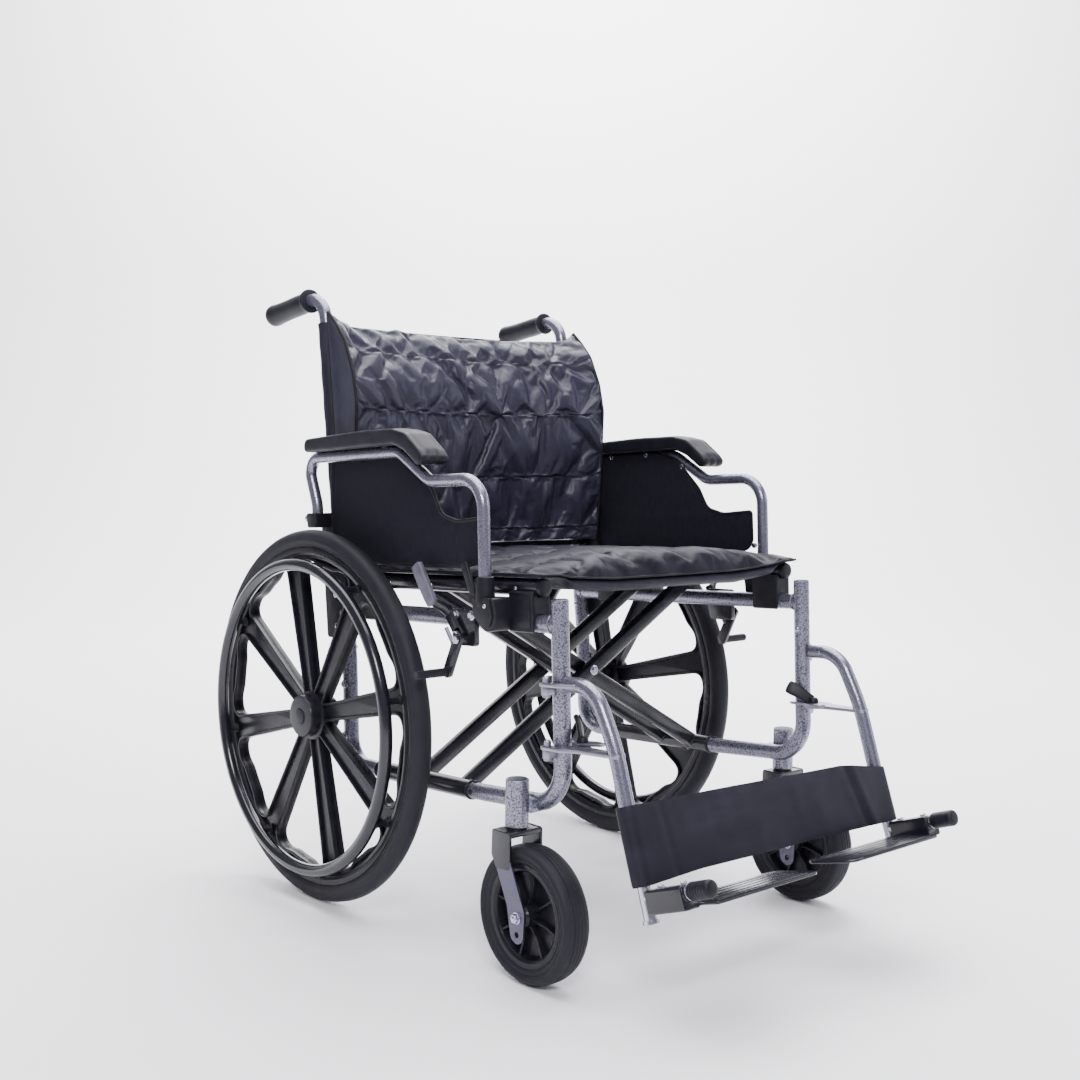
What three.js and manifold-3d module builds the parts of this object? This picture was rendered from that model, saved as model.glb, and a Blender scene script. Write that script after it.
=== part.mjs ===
// Wide folding self-propelled wheelchair. Millimetres, +Z up, the chair faces -Y, +X is the user's left.
// Every side piece is written once for the user's right side (x < 0) and mirrored for the left.
import * as THREE from 'three';
import { mergeVertices } from 'three/addons/utils/BufferGeometryUtils.js';
import Module from 'manifold-3d';

const wasm = await Module();
wasm.setup();

// ---------- driving dimensions ----------
const TILT = THREE.MathUtils.degToRad(3.3);   // the side frames lean back
const AXLE = { y: 200, z: 305, x: 335.4 };    // rear wheel centre
const FRAME_X = 268;                          // side frame plane
const TUBE_R = 12.7;                          // 25.4 mm frame tube
const LOWER_Z = 216, UPPER_Z = 475, SEAT_Z = 526;
const FRONT_Y = -330.5, REAR_Y = 198;
const CANE_X = 269, CANE_R = 11, CANE_SLOPE = 0.0833;
const WHEEL_R = 305, TYRE_W = 17, RIM_R = 277;
const HANDRIM = { x: 370, r: 249, tube: 10 };
const SPOKES = 8, SPOKE_PHASE = THREE.MathUtils.degToRad(31);
const CASTER = { x: 297, y: -307, r: 98, w: 23, swivelY: -268 };
const HOUSING = { z0: 214.5, z1: 283, r: 17, bore: 10 };
const ARM_X = 309, ARM_R = 9.5;
const HANGER_X = 272, HANGER_R = 11, HANGER_BORE = 9.6, EXT_R = 9;
const HANGER_PIN = { x: 291, y: -325, r: 5, z: [394, 306] };
const FOOT_TILT = THREE.MathUtils.degToRad(20); // footplate axis rises towards the toes
const FOOT_S = 28;                            // footplate axis, below the end of the hanger tube
const SLEEVE = { y0: -124.5, y1: 108.5, r: 14, bore: 10.7, shaft: 10 };
const MEMBER = { h: 25, a: [[-113, -95], [-3, 15]], b: [[-93, -75], [-24, -6]] };
const BRAKE = { y: -135, z: 453, shoeY: -150, shoeZ: 447 };
const GAP = 0.3;

// ---------- materials ----------
const paint = (color, roughness, metalness) => () => new THREE.MeshStandardMaterial({ color, roughness, metalness });
const hammertone = paint(0x8d9092, 0.38, 0.75);
const black_gloss = paint(0x151515, 0.22, 0.1);
const black_plastic = paint(0x1a1a1b, 0.5, 0.0);
const black_rubber = paint(0x202021, 0.75, 0.0);
const tyre_rubber = paint(0x2b2b2c, 0.85, 0.0);
const nylon = paint(0x111113, 0.55, 0.0);
const vinyl = paint(0x0f0f10, 0.35, 0.0);
const chrome = paint(0xc9ccd0, 0.15, 1.0);
const steel = paint(0xa9acb0, 0.3, 0.9);

// ---------- geometry helpers ----------
const V = (x, y, z) => new THREE.Vector3(x, y, z);

function solid(geometry) {
  let g = geometry.clone();
  for (const key of Object.keys(g.attributes)) if (key !== 'position') g.deleteAttribute(key);
  g = mergeVertices(g, 1e-3);
  const p = g.attributes.position.array;
  const raw = g.index.array;
  const tri = [];
  for (let i = 0; i < raw.length; i += 3) {
    const [a, b, c] = [raw[i], raw[i + 1], raw[i + 2]];
    if (a !== b && b !== c && a !== c) tri.push(a, b, c);
  }
  let volume = 0;
  for (let i = 0; i < tri.length; i += 3) {
    const [a, b, c] = [tri[i] * 3, tri[i + 1] * 3, tri[i + 2] * 3];
    volume += p[a] * (p[b + 1] * p[c + 2] - p[b + 2] * p[c + 1])
      - p[a + 1] * (p[b] * p[c + 2] - p[b + 2] * p[c])
      + p[a + 2] * (p[b] * p[c + 1] - p[b + 1] * p[c]);
  }
  if (volume < 0) for (let i = 0; i < tri.length; i += 3) [tri[i], tri[i + 1]] = [tri[i + 1], tri[i]];
  return new wasm.Manifold(new wasm.Mesh({ numProp: 3, vertProperties: new Float32Array(p), triVerts: new Uint32Array(tri) }));
}
const join = (...parts) => parts.reduce((a, b) => a.add(b));
const cut = (body, ...tools) => tools.reduce((a, b) => a.subtract(b), body);

function toGeometry(m, mirror = false) {
  const mesh = m.getMesh();
  const n = mesh.numProp;
  const src = mesh.vertProperties;
  const count = src.length / n;
  const pos = new Float32Array(count * 3);
  for (let i = 0; i < count; i++) {
    pos[3 * i] = mirror ? -src[n * i] : src[n * i];
    pos[3 * i + 1] = src[n * i + 1];
    pos[3 * i + 2] = src[n * i + 2];
  }
  const idx = Array.from(mesh.triVerts);
  if (mirror) for (let i = 0; i < idx.length; i += 3) [idx[i], idx[i + 1]] = [idx[i + 1], idx[i]];
  const g = new THREE.BufferGeometry();
  g.setAttribute('position', new THREE.BufferAttribute(pos, 3));
  g.setIndex(idx);
  g.computeVertexNormals();
  return g;
}

const shapeOf = (pts) => new THREE.Shape(pts.map(([a, b]) => new THREE.Vector2(a, b)));
const slab = (pts, depth) => new THREE.ExtrudeGeometry(shapeOf(pts), { depth, bevelEnabled: false, steps: 1 });
// outline in (y, z), thickness from x0 to x1
const plateX = (pts, x0, x1) => slab(pts, x1 - x0).applyMatrix4(new THREE.Matrix4().set(0, 0, 1, x0, 1, 0, 0, 0, 0, 1, 0, 0, 0, 0, 0, 1));
// outline in (x, z), thickness from y0 to y1
const plateY = (pts, y0, y1) => slab(pts, y1 - y0).applyMatrix4(new THREE.Matrix4().set(1, 0, 0, 0, 0, 0, -1, y1, 0, 1, 0, 0, 0, 0, 0, 1));
// outline in (x, y), thickness from z0 to z1
const plateZ = (pts, z0, z1) => slab(pts, z1 - z0).translate(0, 0, z0);
const box = (x0, x1, y0, y1, z0, z1) => new THREE.BoxGeometry(x1 - x0, y1 - y0, z1 - z0).translate((x0 + x1) / 2, (y0 + y1) / 2, (z0 + z1) / 2);

const ring = (r, n, phase = Math.PI / n) => Array.from({ length: n }, (_, i) => [r * Math.cos(phase + 2 * Math.PI * i / n), r * Math.sin(phase + 2 * Math.PI * i / n)]);

class Route extends THREE.Curve {
  constructor(points) { super(); this.points = points; }
  getUtoTmapping(u) { return u; }
  getPoint(t, target = new THREE.Vector3()) {
    const k = this.points.length - 1;
    const s = Math.min(Math.max(t, 0), 1) * k;
    const i = Math.min(Math.floor(s + 1e-9), k - 1);
    return target.lerpVectors(this.points[i], this.points[i + 1], s - i);
  }
  getTangent(t, target = new THREE.Vector3()) {
    const k = this.points.length - 1;
    const i = Math.round(t * k);
    const a = V(0, 0, 0), b = V(0, 0, 0);
    if (i > 0) a.subVectors(this.points[i], this.points[i - 1]).normalize();
    if (i < k) b.subVectors(this.points[i + 1], this.points[i]).normalize();
    return target.addVectors(a, b).normalize();
  }
}
// corner points with a bend radius each: [x, y, z, r]
function bent(corners, step = 0.4) {
  const out = [];
  corners.forEach((c, i) => {
    const p = V(c[0], c[1], c[2]);
    const r = c[3] || 0;
    if (i === 0 || i === corners.length - 1 || !r) { out.push(p); return; }
    const a = V(...corners[i - 1].slice(0, 3)).sub(p).normalize();
    const b = V(...corners[i + 1].slice(0, 3)).sub(p).normalize();
    const angle = Math.PI - a.angleTo(b);
    const t = r * Math.tan(angle / 2);
    const p0 = p.clone().addScaledVector(a, t);
    const centre = p.clone().add(a.clone().add(b).normalize().multiplyScalar(r / Math.cos(angle / 2)));
    const u = p0.clone().sub(centre);
    const axis = new THREE.Vector3().crossVectors(a, b).normalize().negate();
    const n = Math.max(2, Math.ceil(angle / step));
    for (let k = 0; k <= n; k++) out.push(centre.clone().add(u.clone().applyAxisAngle(axis, angle * k / n)));
  });
  return out;
}
const tube = (corners, r, n = 8, step = 0.4) => {
  const pts = bent(corners, step);
  return new THREE.ExtrudeGeometry(shapeOf(ring(r, n)), { steps: pts.length - 1, bevelEnabled: false, extrudePath: new Route(pts) });
};
function rod(p0, p1, r, n = 12, r1 = r) {
  const a = V(...p0), b = V(...p1);
  const d = b.clone().sub(a);
  const g = new THREE.CylinderGeometry(r1, r, d.length(), n, 1);
  g.rotateY(Math.PI / n);
  g.applyQuaternion(new THREE.Quaternion().setFromUnitVectors(V(0, 1, 0), d.clone().normalize()));
  return g.translate((a.x + b.x) / 2, (a.y + b.y) / 2, (a.z + b.z) / 2);
}
// profile of [radius, x] turned about the X axis; a profile off the axis closes on itself
function turned(profile, n, phase = 0) {
  const pts = profile.map(([r, x]) => new THREE.Vector2(r, x));
  if (profile[0][0] > 1e-6) pts.push(pts[0].clone());
  const g = new THREE.LatheGeometry(pts, n, phase);
  return g.rotateZ(-Math.PI / 2);
}
// level (ground-parallel) coordinates to the leaned side-frame coordinates
const cosT = Math.cos(TILT), sinT = Math.sin(TILT);
const lean = (y, z) => [AXLE.y + (y - AXLE.y) * cosT - (z - AXLE.z) * sinT, AXLE.z + (y - AXLE.y) * sinT + (z - AXLE.z) * cosT];
const leanG = (g) => g.translate(0, -AXLE.y, -AXLE.z).rotateX(TILT).translate(0, AXLE.y, AXLE.z);
const caneY = (z) => 206 + CANE_SLOPE * (z - 490);
const shear = (g, z0) => g.applyMatrix4(new THREE.Matrix4().set(1, 0, 0, 0, 0, 1, CANE_SLOPE, -CANE_SLOPE * z0, 0, 0, 1, 0, 0, 0, 0, 1));

const model = new THREE.Group();
const leaning = new THREE.Group();
leaning.position.set(0, AXLE.y, AXLE.z);
leaning.rotation.x = -TILT;
const frames = new THREE.Group();
frames.position.set(0, -AXLE.y, -AXLE.z);
leaning.add(frames);
model.add(leaning);

function place(parent, name, body, material, at = [0, 0, 0], mirror = false) {
  const mesh = new THREE.Mesh(toGeometry(body, mirror), material());
  mesh.name = name;
  mesh.position.set(mirror ? -at[0] : at[0], at[1], at[2]);
  parent.add(mesh);
}
// a side piece: made for the right, mirrored for the left
function pair(parent, name, body, material, at) {
  place(parent, `${name}_right`, body, material, at, false);
  place(parent, `${name}_left`, body, material, at, true);
}

// ---------- side frame ----------
const F = -FRAME_X;
const caneDir = V(0, CANE_SLOPE, 1).normalize();
const postTop = [F, caneY(492), 492];
let side = join(
  solid(tube([[F, FRONT_Y, 510], [F, FRONT_Y, LOWER_Z + 6, 58], [F, SLEEVE.y0 - 30, LOWER_Z, 300], [F, SLEEVE.y0 - 4, LOWER_Z]], TUBE_R)),
  solid(rod([F, SLEEVE.y0 - 6, LOWER_Z], [F, SLEEVE.y1 + 6, LOWER_Z], SLEEVE.shaft)),
  solid(tube([[F, SLEEVE.y1 + 4, LOWER_Z], [F, REAR_Y, LOWER_Z, 45], [F, REAR_Y, 394, 300], postTop], TUBE_R)),
  solid(rod([F, FRONT_Y, UPPER_Z], [F, caneY(UPPER_Z), UPPER_Z], TUBE_R)),
  solid(rod([F + 17, AXLE.y, AXLE.z], [F - 22, AXLE.y, AXLE.z], 15)),
  solid(leanG(rod([-CASTER.x, CASTER.swivelY, HOUSING.z0], [-CASTER.x, CASTER.swivelY, HOUSING.z1], HOUSING.r, 16))),
  solid(leanG(box(-CASTER.x + 6, F, CASTER.swivelY - 22, CASTER.swivelY + 22, 236, 256))),
);
for (const z of HANGER_PIN.z) {
  side = join(side,
    solid(box(-HANGER_PIN.x - 7, F, HANGER_PIN.y - 7, HANGER_PIN.y + 7, z - 15, z - 3)),
    solid(rod([-HANGER_PIN.x, HANGER_PIN.y, z - 6], [-HANGER_PIN.x, HANGER_PIN.y, z + 11], HANGER_PIN.r)));
}
const spigotFrom = V(...postTop).addScaledVector(caneDir, -30);
side = cut(side,
  solid(leanG(rod([-CASTER.x, CASTER.swivelY, HOUSING.z0 - 5], [-CASTER.x, CASTER.swivelY, HOUSING.z1 - 8], HOUSING.bore, 16))),
  solid(rod([F + 30, AXLE.y, AXLE.z], [F - 40, AXLE.y, AXLE.z], 6.7)),
  solid(rod([F, spigotFrom.y, spigotFrom.z], [F, postTop[1] + 0.0833 * 10, postTop[2] + 10], 9.4)));
pair(frames, 'side_frame', side, hammertone);

// ---------- back cane and push grip ----------
const H = { y0: 249, z0: 1005.7, y1: 421, slope: -0.0993 };
const handleZ = (y) => H.z0 + H.slope * (y - H.y0);
const caneStart = V(...postTop).addScaledVector(caneDir, GAP);
const cane = join(
  solid(tube([[-CANE_X, caneStart.y, caneStart.z], [-CANE_X, H.y0, H.z0, 42], [-CANE_X, H.y1 - 3, handleZ(H.y1 - 3)]], CANE_R)),
  solid(rod([F, spigotFrom.y + 0.1, spigotFrom.z + 1], [F, caneStart.y + 0.5, caneStart.z + 5], 8.8)));
pair(frames, 'back_cane', cane, hammertone);
const gripAt = (y, off = 0) => [-CANE_X, y, handleZ(y) + off];
const grip = cut(join(
  solid(rod(gripAt(290), gripAt(299), 25, 14)),
  solid(rod(gripAt(298), gripAt(318), 18.5, 12)),
  solid(rod(gripAt(317), gripAt(410), 16.5, 12)),
  solid(rod(gripAt(409), gripAt(427.7, -4), 18.5, 12, 17))),
solid(rod(gripAt(280), gripAt(H.y1), CANE_R + 1)));
pair(frames, 'push_grip', grip, black_rubber);

// ---------- seat rail guides on the upper rail ----------
for (const [name, y0, y1] of [['seat_guide_front', -290, -246], ['seat_guide_rear', 92, 138]]) {
  const guide = cut(solid(plateY([[F - 17, 470], [F + 16, 470], [F + 16, 521], [F - 17, 521]], y0, y1)),
    solid(rod([F, y0 - 5, UPPER_Z], [F, y1 + 5, UPPER_Z], TUBE_R + 0.6)),
    solid(rod([F, y0 - 5, SEAT_Z], [F, y1 + 5, SEAT_Z], TUBE_R + 1.0)),
    solid(box(F - TUBE_R - 0.6, F + TUBE_R + 0.6, y0 - 5, y1 + 5, 460, UPPER_Z)));
  pair(frames, name, guide, black_plastic);
}

// ---------- cross braces ----------
const P = [F, LOWER_Z], Q = [-F, SEAT_Z];
const dir = new THREE.Vector2(Q[0] - P[0], Q[1] - P[1]).normalize();
const nrm = [-dir.y * MEMBER.h / 2, dir.x * MEMBER.h / 2];
const memberOutline = [[P[0] + nrm[0], P[1] + nrm[1]], [P[0] - nrm[0], P[1] - nrm[1]], [Q[0] - nrm[0], Q[1] - nrm[1]], [Q[0] + nrm[0], Q[1] + nrm[1]]];
const centreZ = (LOWER_Z + SEAT_Z) / 2;
function brace(bands) {
  return cut(join(
    solid(rod([F, SLEEVE.y0, LOWER_Z], [F, SLEEVE.y1, LOWER_Z], SLEEVE.r)),
    ...bands.map(([y0, y1]) => solid(plateY(memberOutline, y0, y1))),
    solid(rod([-F, -296, SEAT_Z], [-F, 175, SEAT_Z], TUBE_R)),
    solid(rod([-F, -303, SEAT_Z], [-F, -295, SEAT_Z], 10, 12, TUBE_R))),
  solid(rod([F, -200, LOWER_Z], [F, 200, LOWER_Z], SLEEVE.bore)),
  solid(rod([0, -200, centreZ], [0, 200, centreZ], 6.5)));
}
place(frames, 'cross_brace_right', brace(MEMBER.a), black_gloss);
place(frames, 'cross_brace_left', brace(MEMBER.b), black_gloss, [0, 0, 0], true);
const bolt = (y0, y1) => join(
  solid(rod([0, y0 - 8, centreZ], [0, y1 + 8, centreZ], 6)),
  solid(rod([0, y0 - 7.3, centreZ], [0, y0 - GAP, centreZ], 11, 6)),
  solid(rod([0, y1 + GAP, centreZ], [0, y1 + 7.3, centreZ], 11, 6)));
place(frames, 'brace_bolt_front', bolt(MEMBER.a[0][0], MEMBER.b[0][1]), chrome);
place(frames, 'brace_bolt_rear', bolt(MEMBER.b[1][0], MEMBER.a[1][1]), chrome);

// ---------- seat upholstery ----------
const half = [[0, 514], [-140, 513], [-225, 522], [-236, 539.4], [-282, 539.4], [-282.6, 543], [-250, 549], [-170, 561], [-90, 569], [0, 571]];
const seatOutline = [...half, ...half.slice(1, -1).reverse().map(([x, z]) => [-x, z])];
place(frames, 'seat_upholstery', solid(plateY(seatOutline, -311, 172)), vinyl);

// ---------- back sling and back pad ----------
const sagFront = [[-259, -4], [-200, 9], [-120, 19], [0, 24], [120, 19], [200, 9], [259, -4]];
const slingPlan = [...sagFront, ...sagFront.slice().reverse().map(([x, y]) => [x, y + 8])];
const caneAt = (z, dx = 0) => [-CANE_X + dx, caneY(z), z];
const mirrorX = ([x, y, z]) => [-x, y, z];
const sleeves = [1, -1].map((s) => {
  const m = s === 1 ? (p) => p : mirrorX;
  return cut(solid(rod(m(caneAt(566)), m(caneAt(957)), 14.2, 16)), solid(rod(m(caneAt(550)), m(caneAt(975)), CANE_R + 0.7, 16)));
});
const slingSheet = cut(solid(shear(plateZ(slingPlan.map(([x, y]) => [x, y + caneY(566)]), 566, 957), 566)),
  ...[1, -1].map((s) => solid(rod((s === 1 ? (p) => p : mirrorX)(caneAt(550)), (s === 1 ? (p) => p : mirrorX)(caneAt(975)), CANE_R + 0.7, 16))));
place(frames, 'back_sling', join(slingSheet, ...sleeves), nylon);
// the padded back is stitched in five cross channels and stands forward of the canes
const BACK_BANDS = [[577, 600, 50], [600, 700, 70], [700, 811, 90], [811, 912, 86], [912, 948, 58]];
const padPlan = (f) => [[-280, -f], [-200, 24 - f], [-110, 42 - f], [0, 48 - f], [110, 42 - f], [200, 24 - f], [280, -f],
  [280, -17], [247, -17], [246, -3], [200, 7.6], [120, 17.6], [0, 22.6], [-120, 17.6], [-200, 7.6], [-246, -3], [-247, -17], [-280, -17]];
place(frames, 'back_pad', join(...BACK_BANDS.map(([z0, z1, f]) =>
  solid(shear(plateZ(padPlan(f).map(([x, y]) => [x, y + caneY(z0) - 0.3]), z0, z1), z0)))), vinyl);

// ---------- arm: tube, pad, panel, sockets ----------
const A = -ARM_X;
const LEG_Y = -217;
const arm = solid(tube([[A, 222, 616], [A, 222, 650, 60], [A, 250, 729, 26], [A, -16, 729, 40], [A, -92, 682, 40], [A, LEG_Y, 682, 45], [A, LEG_Y, 506]], ARM_R));
pair(frames, 'arm_frame', arm, hammertone);
const padOutline = [[215, 739], [218, 748], [212, 758], [60, 763], [-30, 762], [-62, 755], [-98, 727], [-108, 716], [-104, 709], [-94, 706], [-62, 729], [-34, 740], [-20, 739.2]];
pair(frames, 'arm_pad', solid(plateX(padOutline, -336, -285)), black_rubber);
const panelOutline = [[192, 736], [196, 700], [196, 612], [188, 560], [160, 555], [-150, 553], [-196, 560], [-205, 575], [-204, 626], [-139, 622], [-103, 632], [-83, 668], [-29, 722], [20, 736]];
pair(frames, 'arm_panel', solid(plateX(panelOutline, -298.7, -295.2)), nylon);
const frontSocket = cut(join(
  solid(rod([A, LEG_Y, 512], [A, LEG_Y, 541], 15.5, 12, 14)),
  solid(plateX([[-237, 462], [-190, 462], [-196, 512], [-202, 520], [-232, 520], [-237, 500]], -319, F - TUBE_R - 0.6))),
solid(rod([A, LEG_Y, 500], [A, LEG_Y, 560], ARM_R + 0.5)));
pair(frames, 'arm_socket_front', frontSocket, black_plastic);
const rearSocket = cut(join(
  solid(plateX([[186, 428], [226, 428], [236, 600], [238, 637], [206, 637], [200, 606], [176, 600], [168, 520], [170, 440]], -293.5, F - TUBE_R - 2.6)),
  solid(plateX([[208, 612.5], [237, 612.5], [240, 637], [212, 637]], -321, -293))),
solid(rod([A, 222, 608], [A, 222, 652], ARM_R + 0.8)));
pair(frames, 'arm_socket_rear', rearSocket, black_plastic);

// ---------- wheel lock ----------
const B = BRAKE;
const bracket = join(
  solid(plateX([[-168, 436], [-118, 436], [-112, 462], [-112, 490], [-160, 490], [-168, 470]], -290, F - TUBE_R - 0.6)),
  solid(rod([-289, B.y, B.z], [-303, B.y, B.z], 4.5)),
  solid(rod([-289, B.shoeY, B.shoeZ], [-311, B.shoeY, B.shoeZ], 4.5)));
pair(frames, 'brake_bracket', bracket, steel);
const leverPlate = [[-142, 459], [-129, 446], [-76, 497], [-84, 507], [-92, 505]];
const lever = cut(join(
  solid(plateX(leverPlate, -296.5, -291)),
  solid(rod([-296.5, B.y, B.z], [-291, B.y, B.z], 10.5, 14)),
  solid(tube([[-294, -96, 492], [-298, -82, 506, 10], [-316, -66, 522, 12], [-318, -33, 555]], 7.5, 10))),
solid(rod([-280, B.y, B.z], [-320, B.y, B.z], 5)));
pair(frames, 'brake_lever', lever, black_gloss);
const shoeRod = lean(-117, 416);
const shoe = cut(join(
  solid(plateX([[B.shoeY - 10, B.shoeZ + 2], [B.shoeY - 4, B.shoeZ + 10], [B.shoeY + 8, B.shoeZ + 8], [shoeRod[0] + 9, shoeRod[1] + 4], [shoeRod[0] + 6, shoeRod[1] - 8], [shoeRod[0] - 7, shoeRod[1] - 7]], -309.5, -304)),
  solid(rod([-306, shoeRod[0], shoeRod[1]], [-366, shoeRod[0], shoeRod[1]], 6.5))),
solid(rod([-280, B.shoeY, B.shoeZ], [-320, B.shoeY, B.shoeZ], 5)));
pair(frames, 'brake_shoe', shoe, steel);

// ---------- rear wheel, made about its own centre ----------
const tyreProfile = [[RIM_R, -12], [289, -TYRE_W], [299.5, -13.5], [WHEEL_R, -3], [WHEEL_R, 3], [299.5, 13.5], [289, TYRE_W], [RIM_R, 12]];
pair(model, 'rear_tyre', solid(turned(tyreProfile, 32)), tyre_rubber, [-AXLE.x, AXLE.y, AXLE.z]);
const rimProfile = [[252, -11], [RIM_R - 1.5, -13.5], [RIM_R - 0.6, 0], [RIM_R - 1.5, 13.5], [252, 11]];
pair(model, 'rear_rim', solid(turned(rimProfile, 32)), black_plastic, [-AXLE.x, AXLE.y, AXLE.z]);
const HUB_R = 40, SPOKE_END = 251.3;
const hub = cut(solid(turned([[0, 30.6], [28, 30.6], [29, 10], [HUB_R, 10], [HUB_R, -10], [35, -12], [35, -28], [32, -31], [0, -31]], 32)),
  solid(rod([40, 0, 0], [-24, 0, 0], 6.7)));
// each spoke is two ribs with a web between them, from the hub disc to the rim
const spokeTrim = cut(solid(turned([[0, 12], [SPOKE_END, 12], [SPOKE_END, -12], [0, -12]], 32)),
  solid(turned([[0, 13], [HUB_R - 3, 13], [HUB_R - 3, -13], [0, -13]], 32)));
let spider = hub;
for (let i = 0; i < SPOKES; i++) {
  const a = SPOKE_PHASE + i * 2 * Math.PI / SPOKES;
  const ribs = [], web = [];
  for (const s of [-1, 1]) {
    const from = [24 * Math.cos(a + s * 0.35), 24 * Math.sin(a + s * 0.35)];
    const to = [258 * Math.cos(a + s * 0.062), 258 * Math.sin(a + s * 0.062)];
    const d = V(0, to[0] - from[0], to[1] - from[1]);
    const w = V(0, -d.z, d.y).normalize().multiplyScalar(5.5);
    ribs.push(solid(plateX([[from[0] + w.y, from[1] + w.z], [from[0] - w.y, from[1] - w.z], [to[0] - w.y, to[1] - w.z], [to[0] + w.y, to[1] + w.z]], -9.9, 9.9)));
    web.push(...(s < 0 ? [from, to] : [to, from]));
  }
  spider = join(spider, join(...ribs, solid(plateX(web, -4, 4))).intersect(spokeTrim));
}
pair(model, 'rear_spokes', spider, black_plastic, [-AXLE.x, AXLE.y, AXLE.z]);
const rimTube = [];
for (let i = 0; i < 8; i++) rimTube.push([HANDRIM.r + HANDRIM.tube * Math.cos(2 * Math.PI * i / 8), HANDRIM.tube * Math.sin(2 * Math.PI * i / 8)]);
let hand = solid(turned(rimTube, 32));
for (let i = 0; i < SPOKES; i++) {
  const a = SPOKE_PHASE + i * 2 * Math.PI / SPOKES;
  const [y, z] = [255 * Math.cos(a), 255 * Math.sin(a)];
  hand = hand.add(solid(rod([0, y, z], [HANDRIM.x - AXLE.x - 13.4, 259 * Math.cos(a), 259 * Math.sin(a)], 5, 6)));
}
pair(model, 'handrim', hand, black_gloss, [-HANDRIM.x, AXLE.y, AXLE.z]);
const axle = join(
  solid(rod([F + 24, AXLE.y, AXLE.z], [-AXLE.x - 20, AXLE.y, AXLE.z], 6.1)),
  solid(rod([F + 25, AXLE.y, AXLE.z], [F + 17 + GAP, AXLE.y, AXLE.z], 11, 6)),
  solid(rod([F - 22 - GAP, AXLE.y, AXLE.z], [-AXLE.x + 31.5, AXLE.y, AXLE.z], 11, 12)));
pair(frames, 'rear_axle', axle, chrome);

// ---------- caster, made about the swivel axis at ground level ----------
const trail = CASTER.y - CASTER.swivelY;
const cz = CASTER.r;
const legOutline = [[-20, 212], [17, 212], [17, 178], [trail + 22, 110], [trail + 13, 66], [trail, 60], [trail - 13, 66], [trail - 15, 108], [-20, 176]];
const fork = cut(join(
  solid(plateX(legOutline, -31, -26.5)),
  solid(plateX(legOutline, 26.5, 31)),
  solid(plateX([[-20, 205], [17, 205], [17, 211.7], [-20, 211.7]], -31, 31)),
  solid(rod([0, 0, 208], [0, 0, 214], 16, 16)),
  solid(rod([0, 0, 210], [0, 0, 270], 9.3, 12)),
  solid(rod([-40, trail, cz], [40, trail, cz], 4.2, 10)),
  solid(rod([-40, trail, cz], [-30.5, trail, cz], 8, 6)),
  solid(rod([30.5, trail, cz], [40, trail, cz], 8, 6))),
solid(rod([-50, trail, cz - 24], [50, trail, cz - 24], 4.2, 8)));
pair(model, 'caster_fork', fork, black_plastic, [-CASTER.x, CASTER.swivelY, 0]);
const cTyre = [[74, -18], [88, -CASTER.w], [94.5, -18], [CASTER.r, -6], [CASTER.r, 6], [94.5, 18], [88, CASTER.w], [74, 18]];
pair(model, 'caster_tyre', solid(turned(cTyre, 24)), tyre_rubber, [-CASTER.x, CASTER.y, cz]);
const cRim = cut(solid(turned([[0, -24.5], [15, -24.5], [18, -12], [60, -10], [72, -17], [72, 17], [60, 10], [18, 12], [15, 24.5], [0, 24.5]], 24)),
  solid(rod([-40, 0, 0], [40, 0, 0], 5, 10)));
pair(model, 'caster_rim', cRim, black_plastic, [-CASTER.x, CASTER.y, cz]);

// ---------- leg rest hanger, latch, extension, footplate ----------
const hx = -HANGER_X;
const hp = (y, z, r = 0) => { const [a, b] = lean(y, z); return [hx, a, b, r]; };
const tubeStart = [hx, HANGER_PIN.y - 21, 394, 0];
const hangerPath = [tubeStart, hp(-395, 429, 52), hp(-438, 352, 260), hp(-489, 200)];
const lo = lean(-489, 200), hi = lean(-455, 296);
const hd = V(0, lo[0] - hi[0], lo[1] - hi[1]).normalize();
const pinHole = (z) => solid(rod([-HANGER_PIN.x, HANGER_PIN.y, z - 20], [-HANGER_PIN.x, HANGER_PIN.y, z + 20], HANGER_PIN.r + 0.6));
const upPlate = [[-300, -316], [-284, -316], [-283.5, -347.5], [-260, -347.5], [-260, -372], [-284, -376], [-300, -350]];
const lowPlate = [[-300, -316], [-284, -316], [-283.5, -347.5], [-249, -347.5], [-249, -366], [-258, -380], [-262, -452], [-282, -452], [-288, -380], [-300, -356]];
const hanger = cut(join(
  solid(tube(hangerPath, HANGER_R)),
  solid(plateZ(upPlate, 391.4, 396.4)),
  solid(plateZ(lowPlate, 303.4, 308.4)),
  solid(rod([-257, -360, 306], [-257, -360, 316], 4))),
pinHole(394), pinHole(306),
solid(rod([hx, lo[0] + hd.y * 8, lo[1] + hd.z * 8], [hx, lo[0] - hd.y * 100, lo[1] - hd.z * 100], HANGER_BORE)));
pair(frames, 'hanger', hanger, hammertone);
const latch = cut(join(
  solid(plateZ([[-264, -356], [-250.4, -350], [-250, -322], [-245, -320], [-242, -328], [-243, -352], [-236, -368], [-238, -388], [-250, -390], [-262, -368]], 308.8, 312.8)),
  solid(plateZ([[-252, -386], [-234, -366], [-228, -372], [-230, -392], [-246, -398]], 308.8, 324))),
solid(rod([-257, -360, 300], [-257, -360, 330], 4.6)));
pair(frames, 'hanger_latch', latch, black_plastic);
const along = (s) => [lo[0] + hd.y * s, lo[1] + hd.z * s];
const fd = V(0, -Math.cos(FOOT_TILT - TILT), Math.sin(FOOT_TILT - TILT));
const corner = along(FOOT_S + 8);
const onAxis = (t) => [hx, corner[0] + fd.y * t, corner[1] + fd.z * t];
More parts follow.
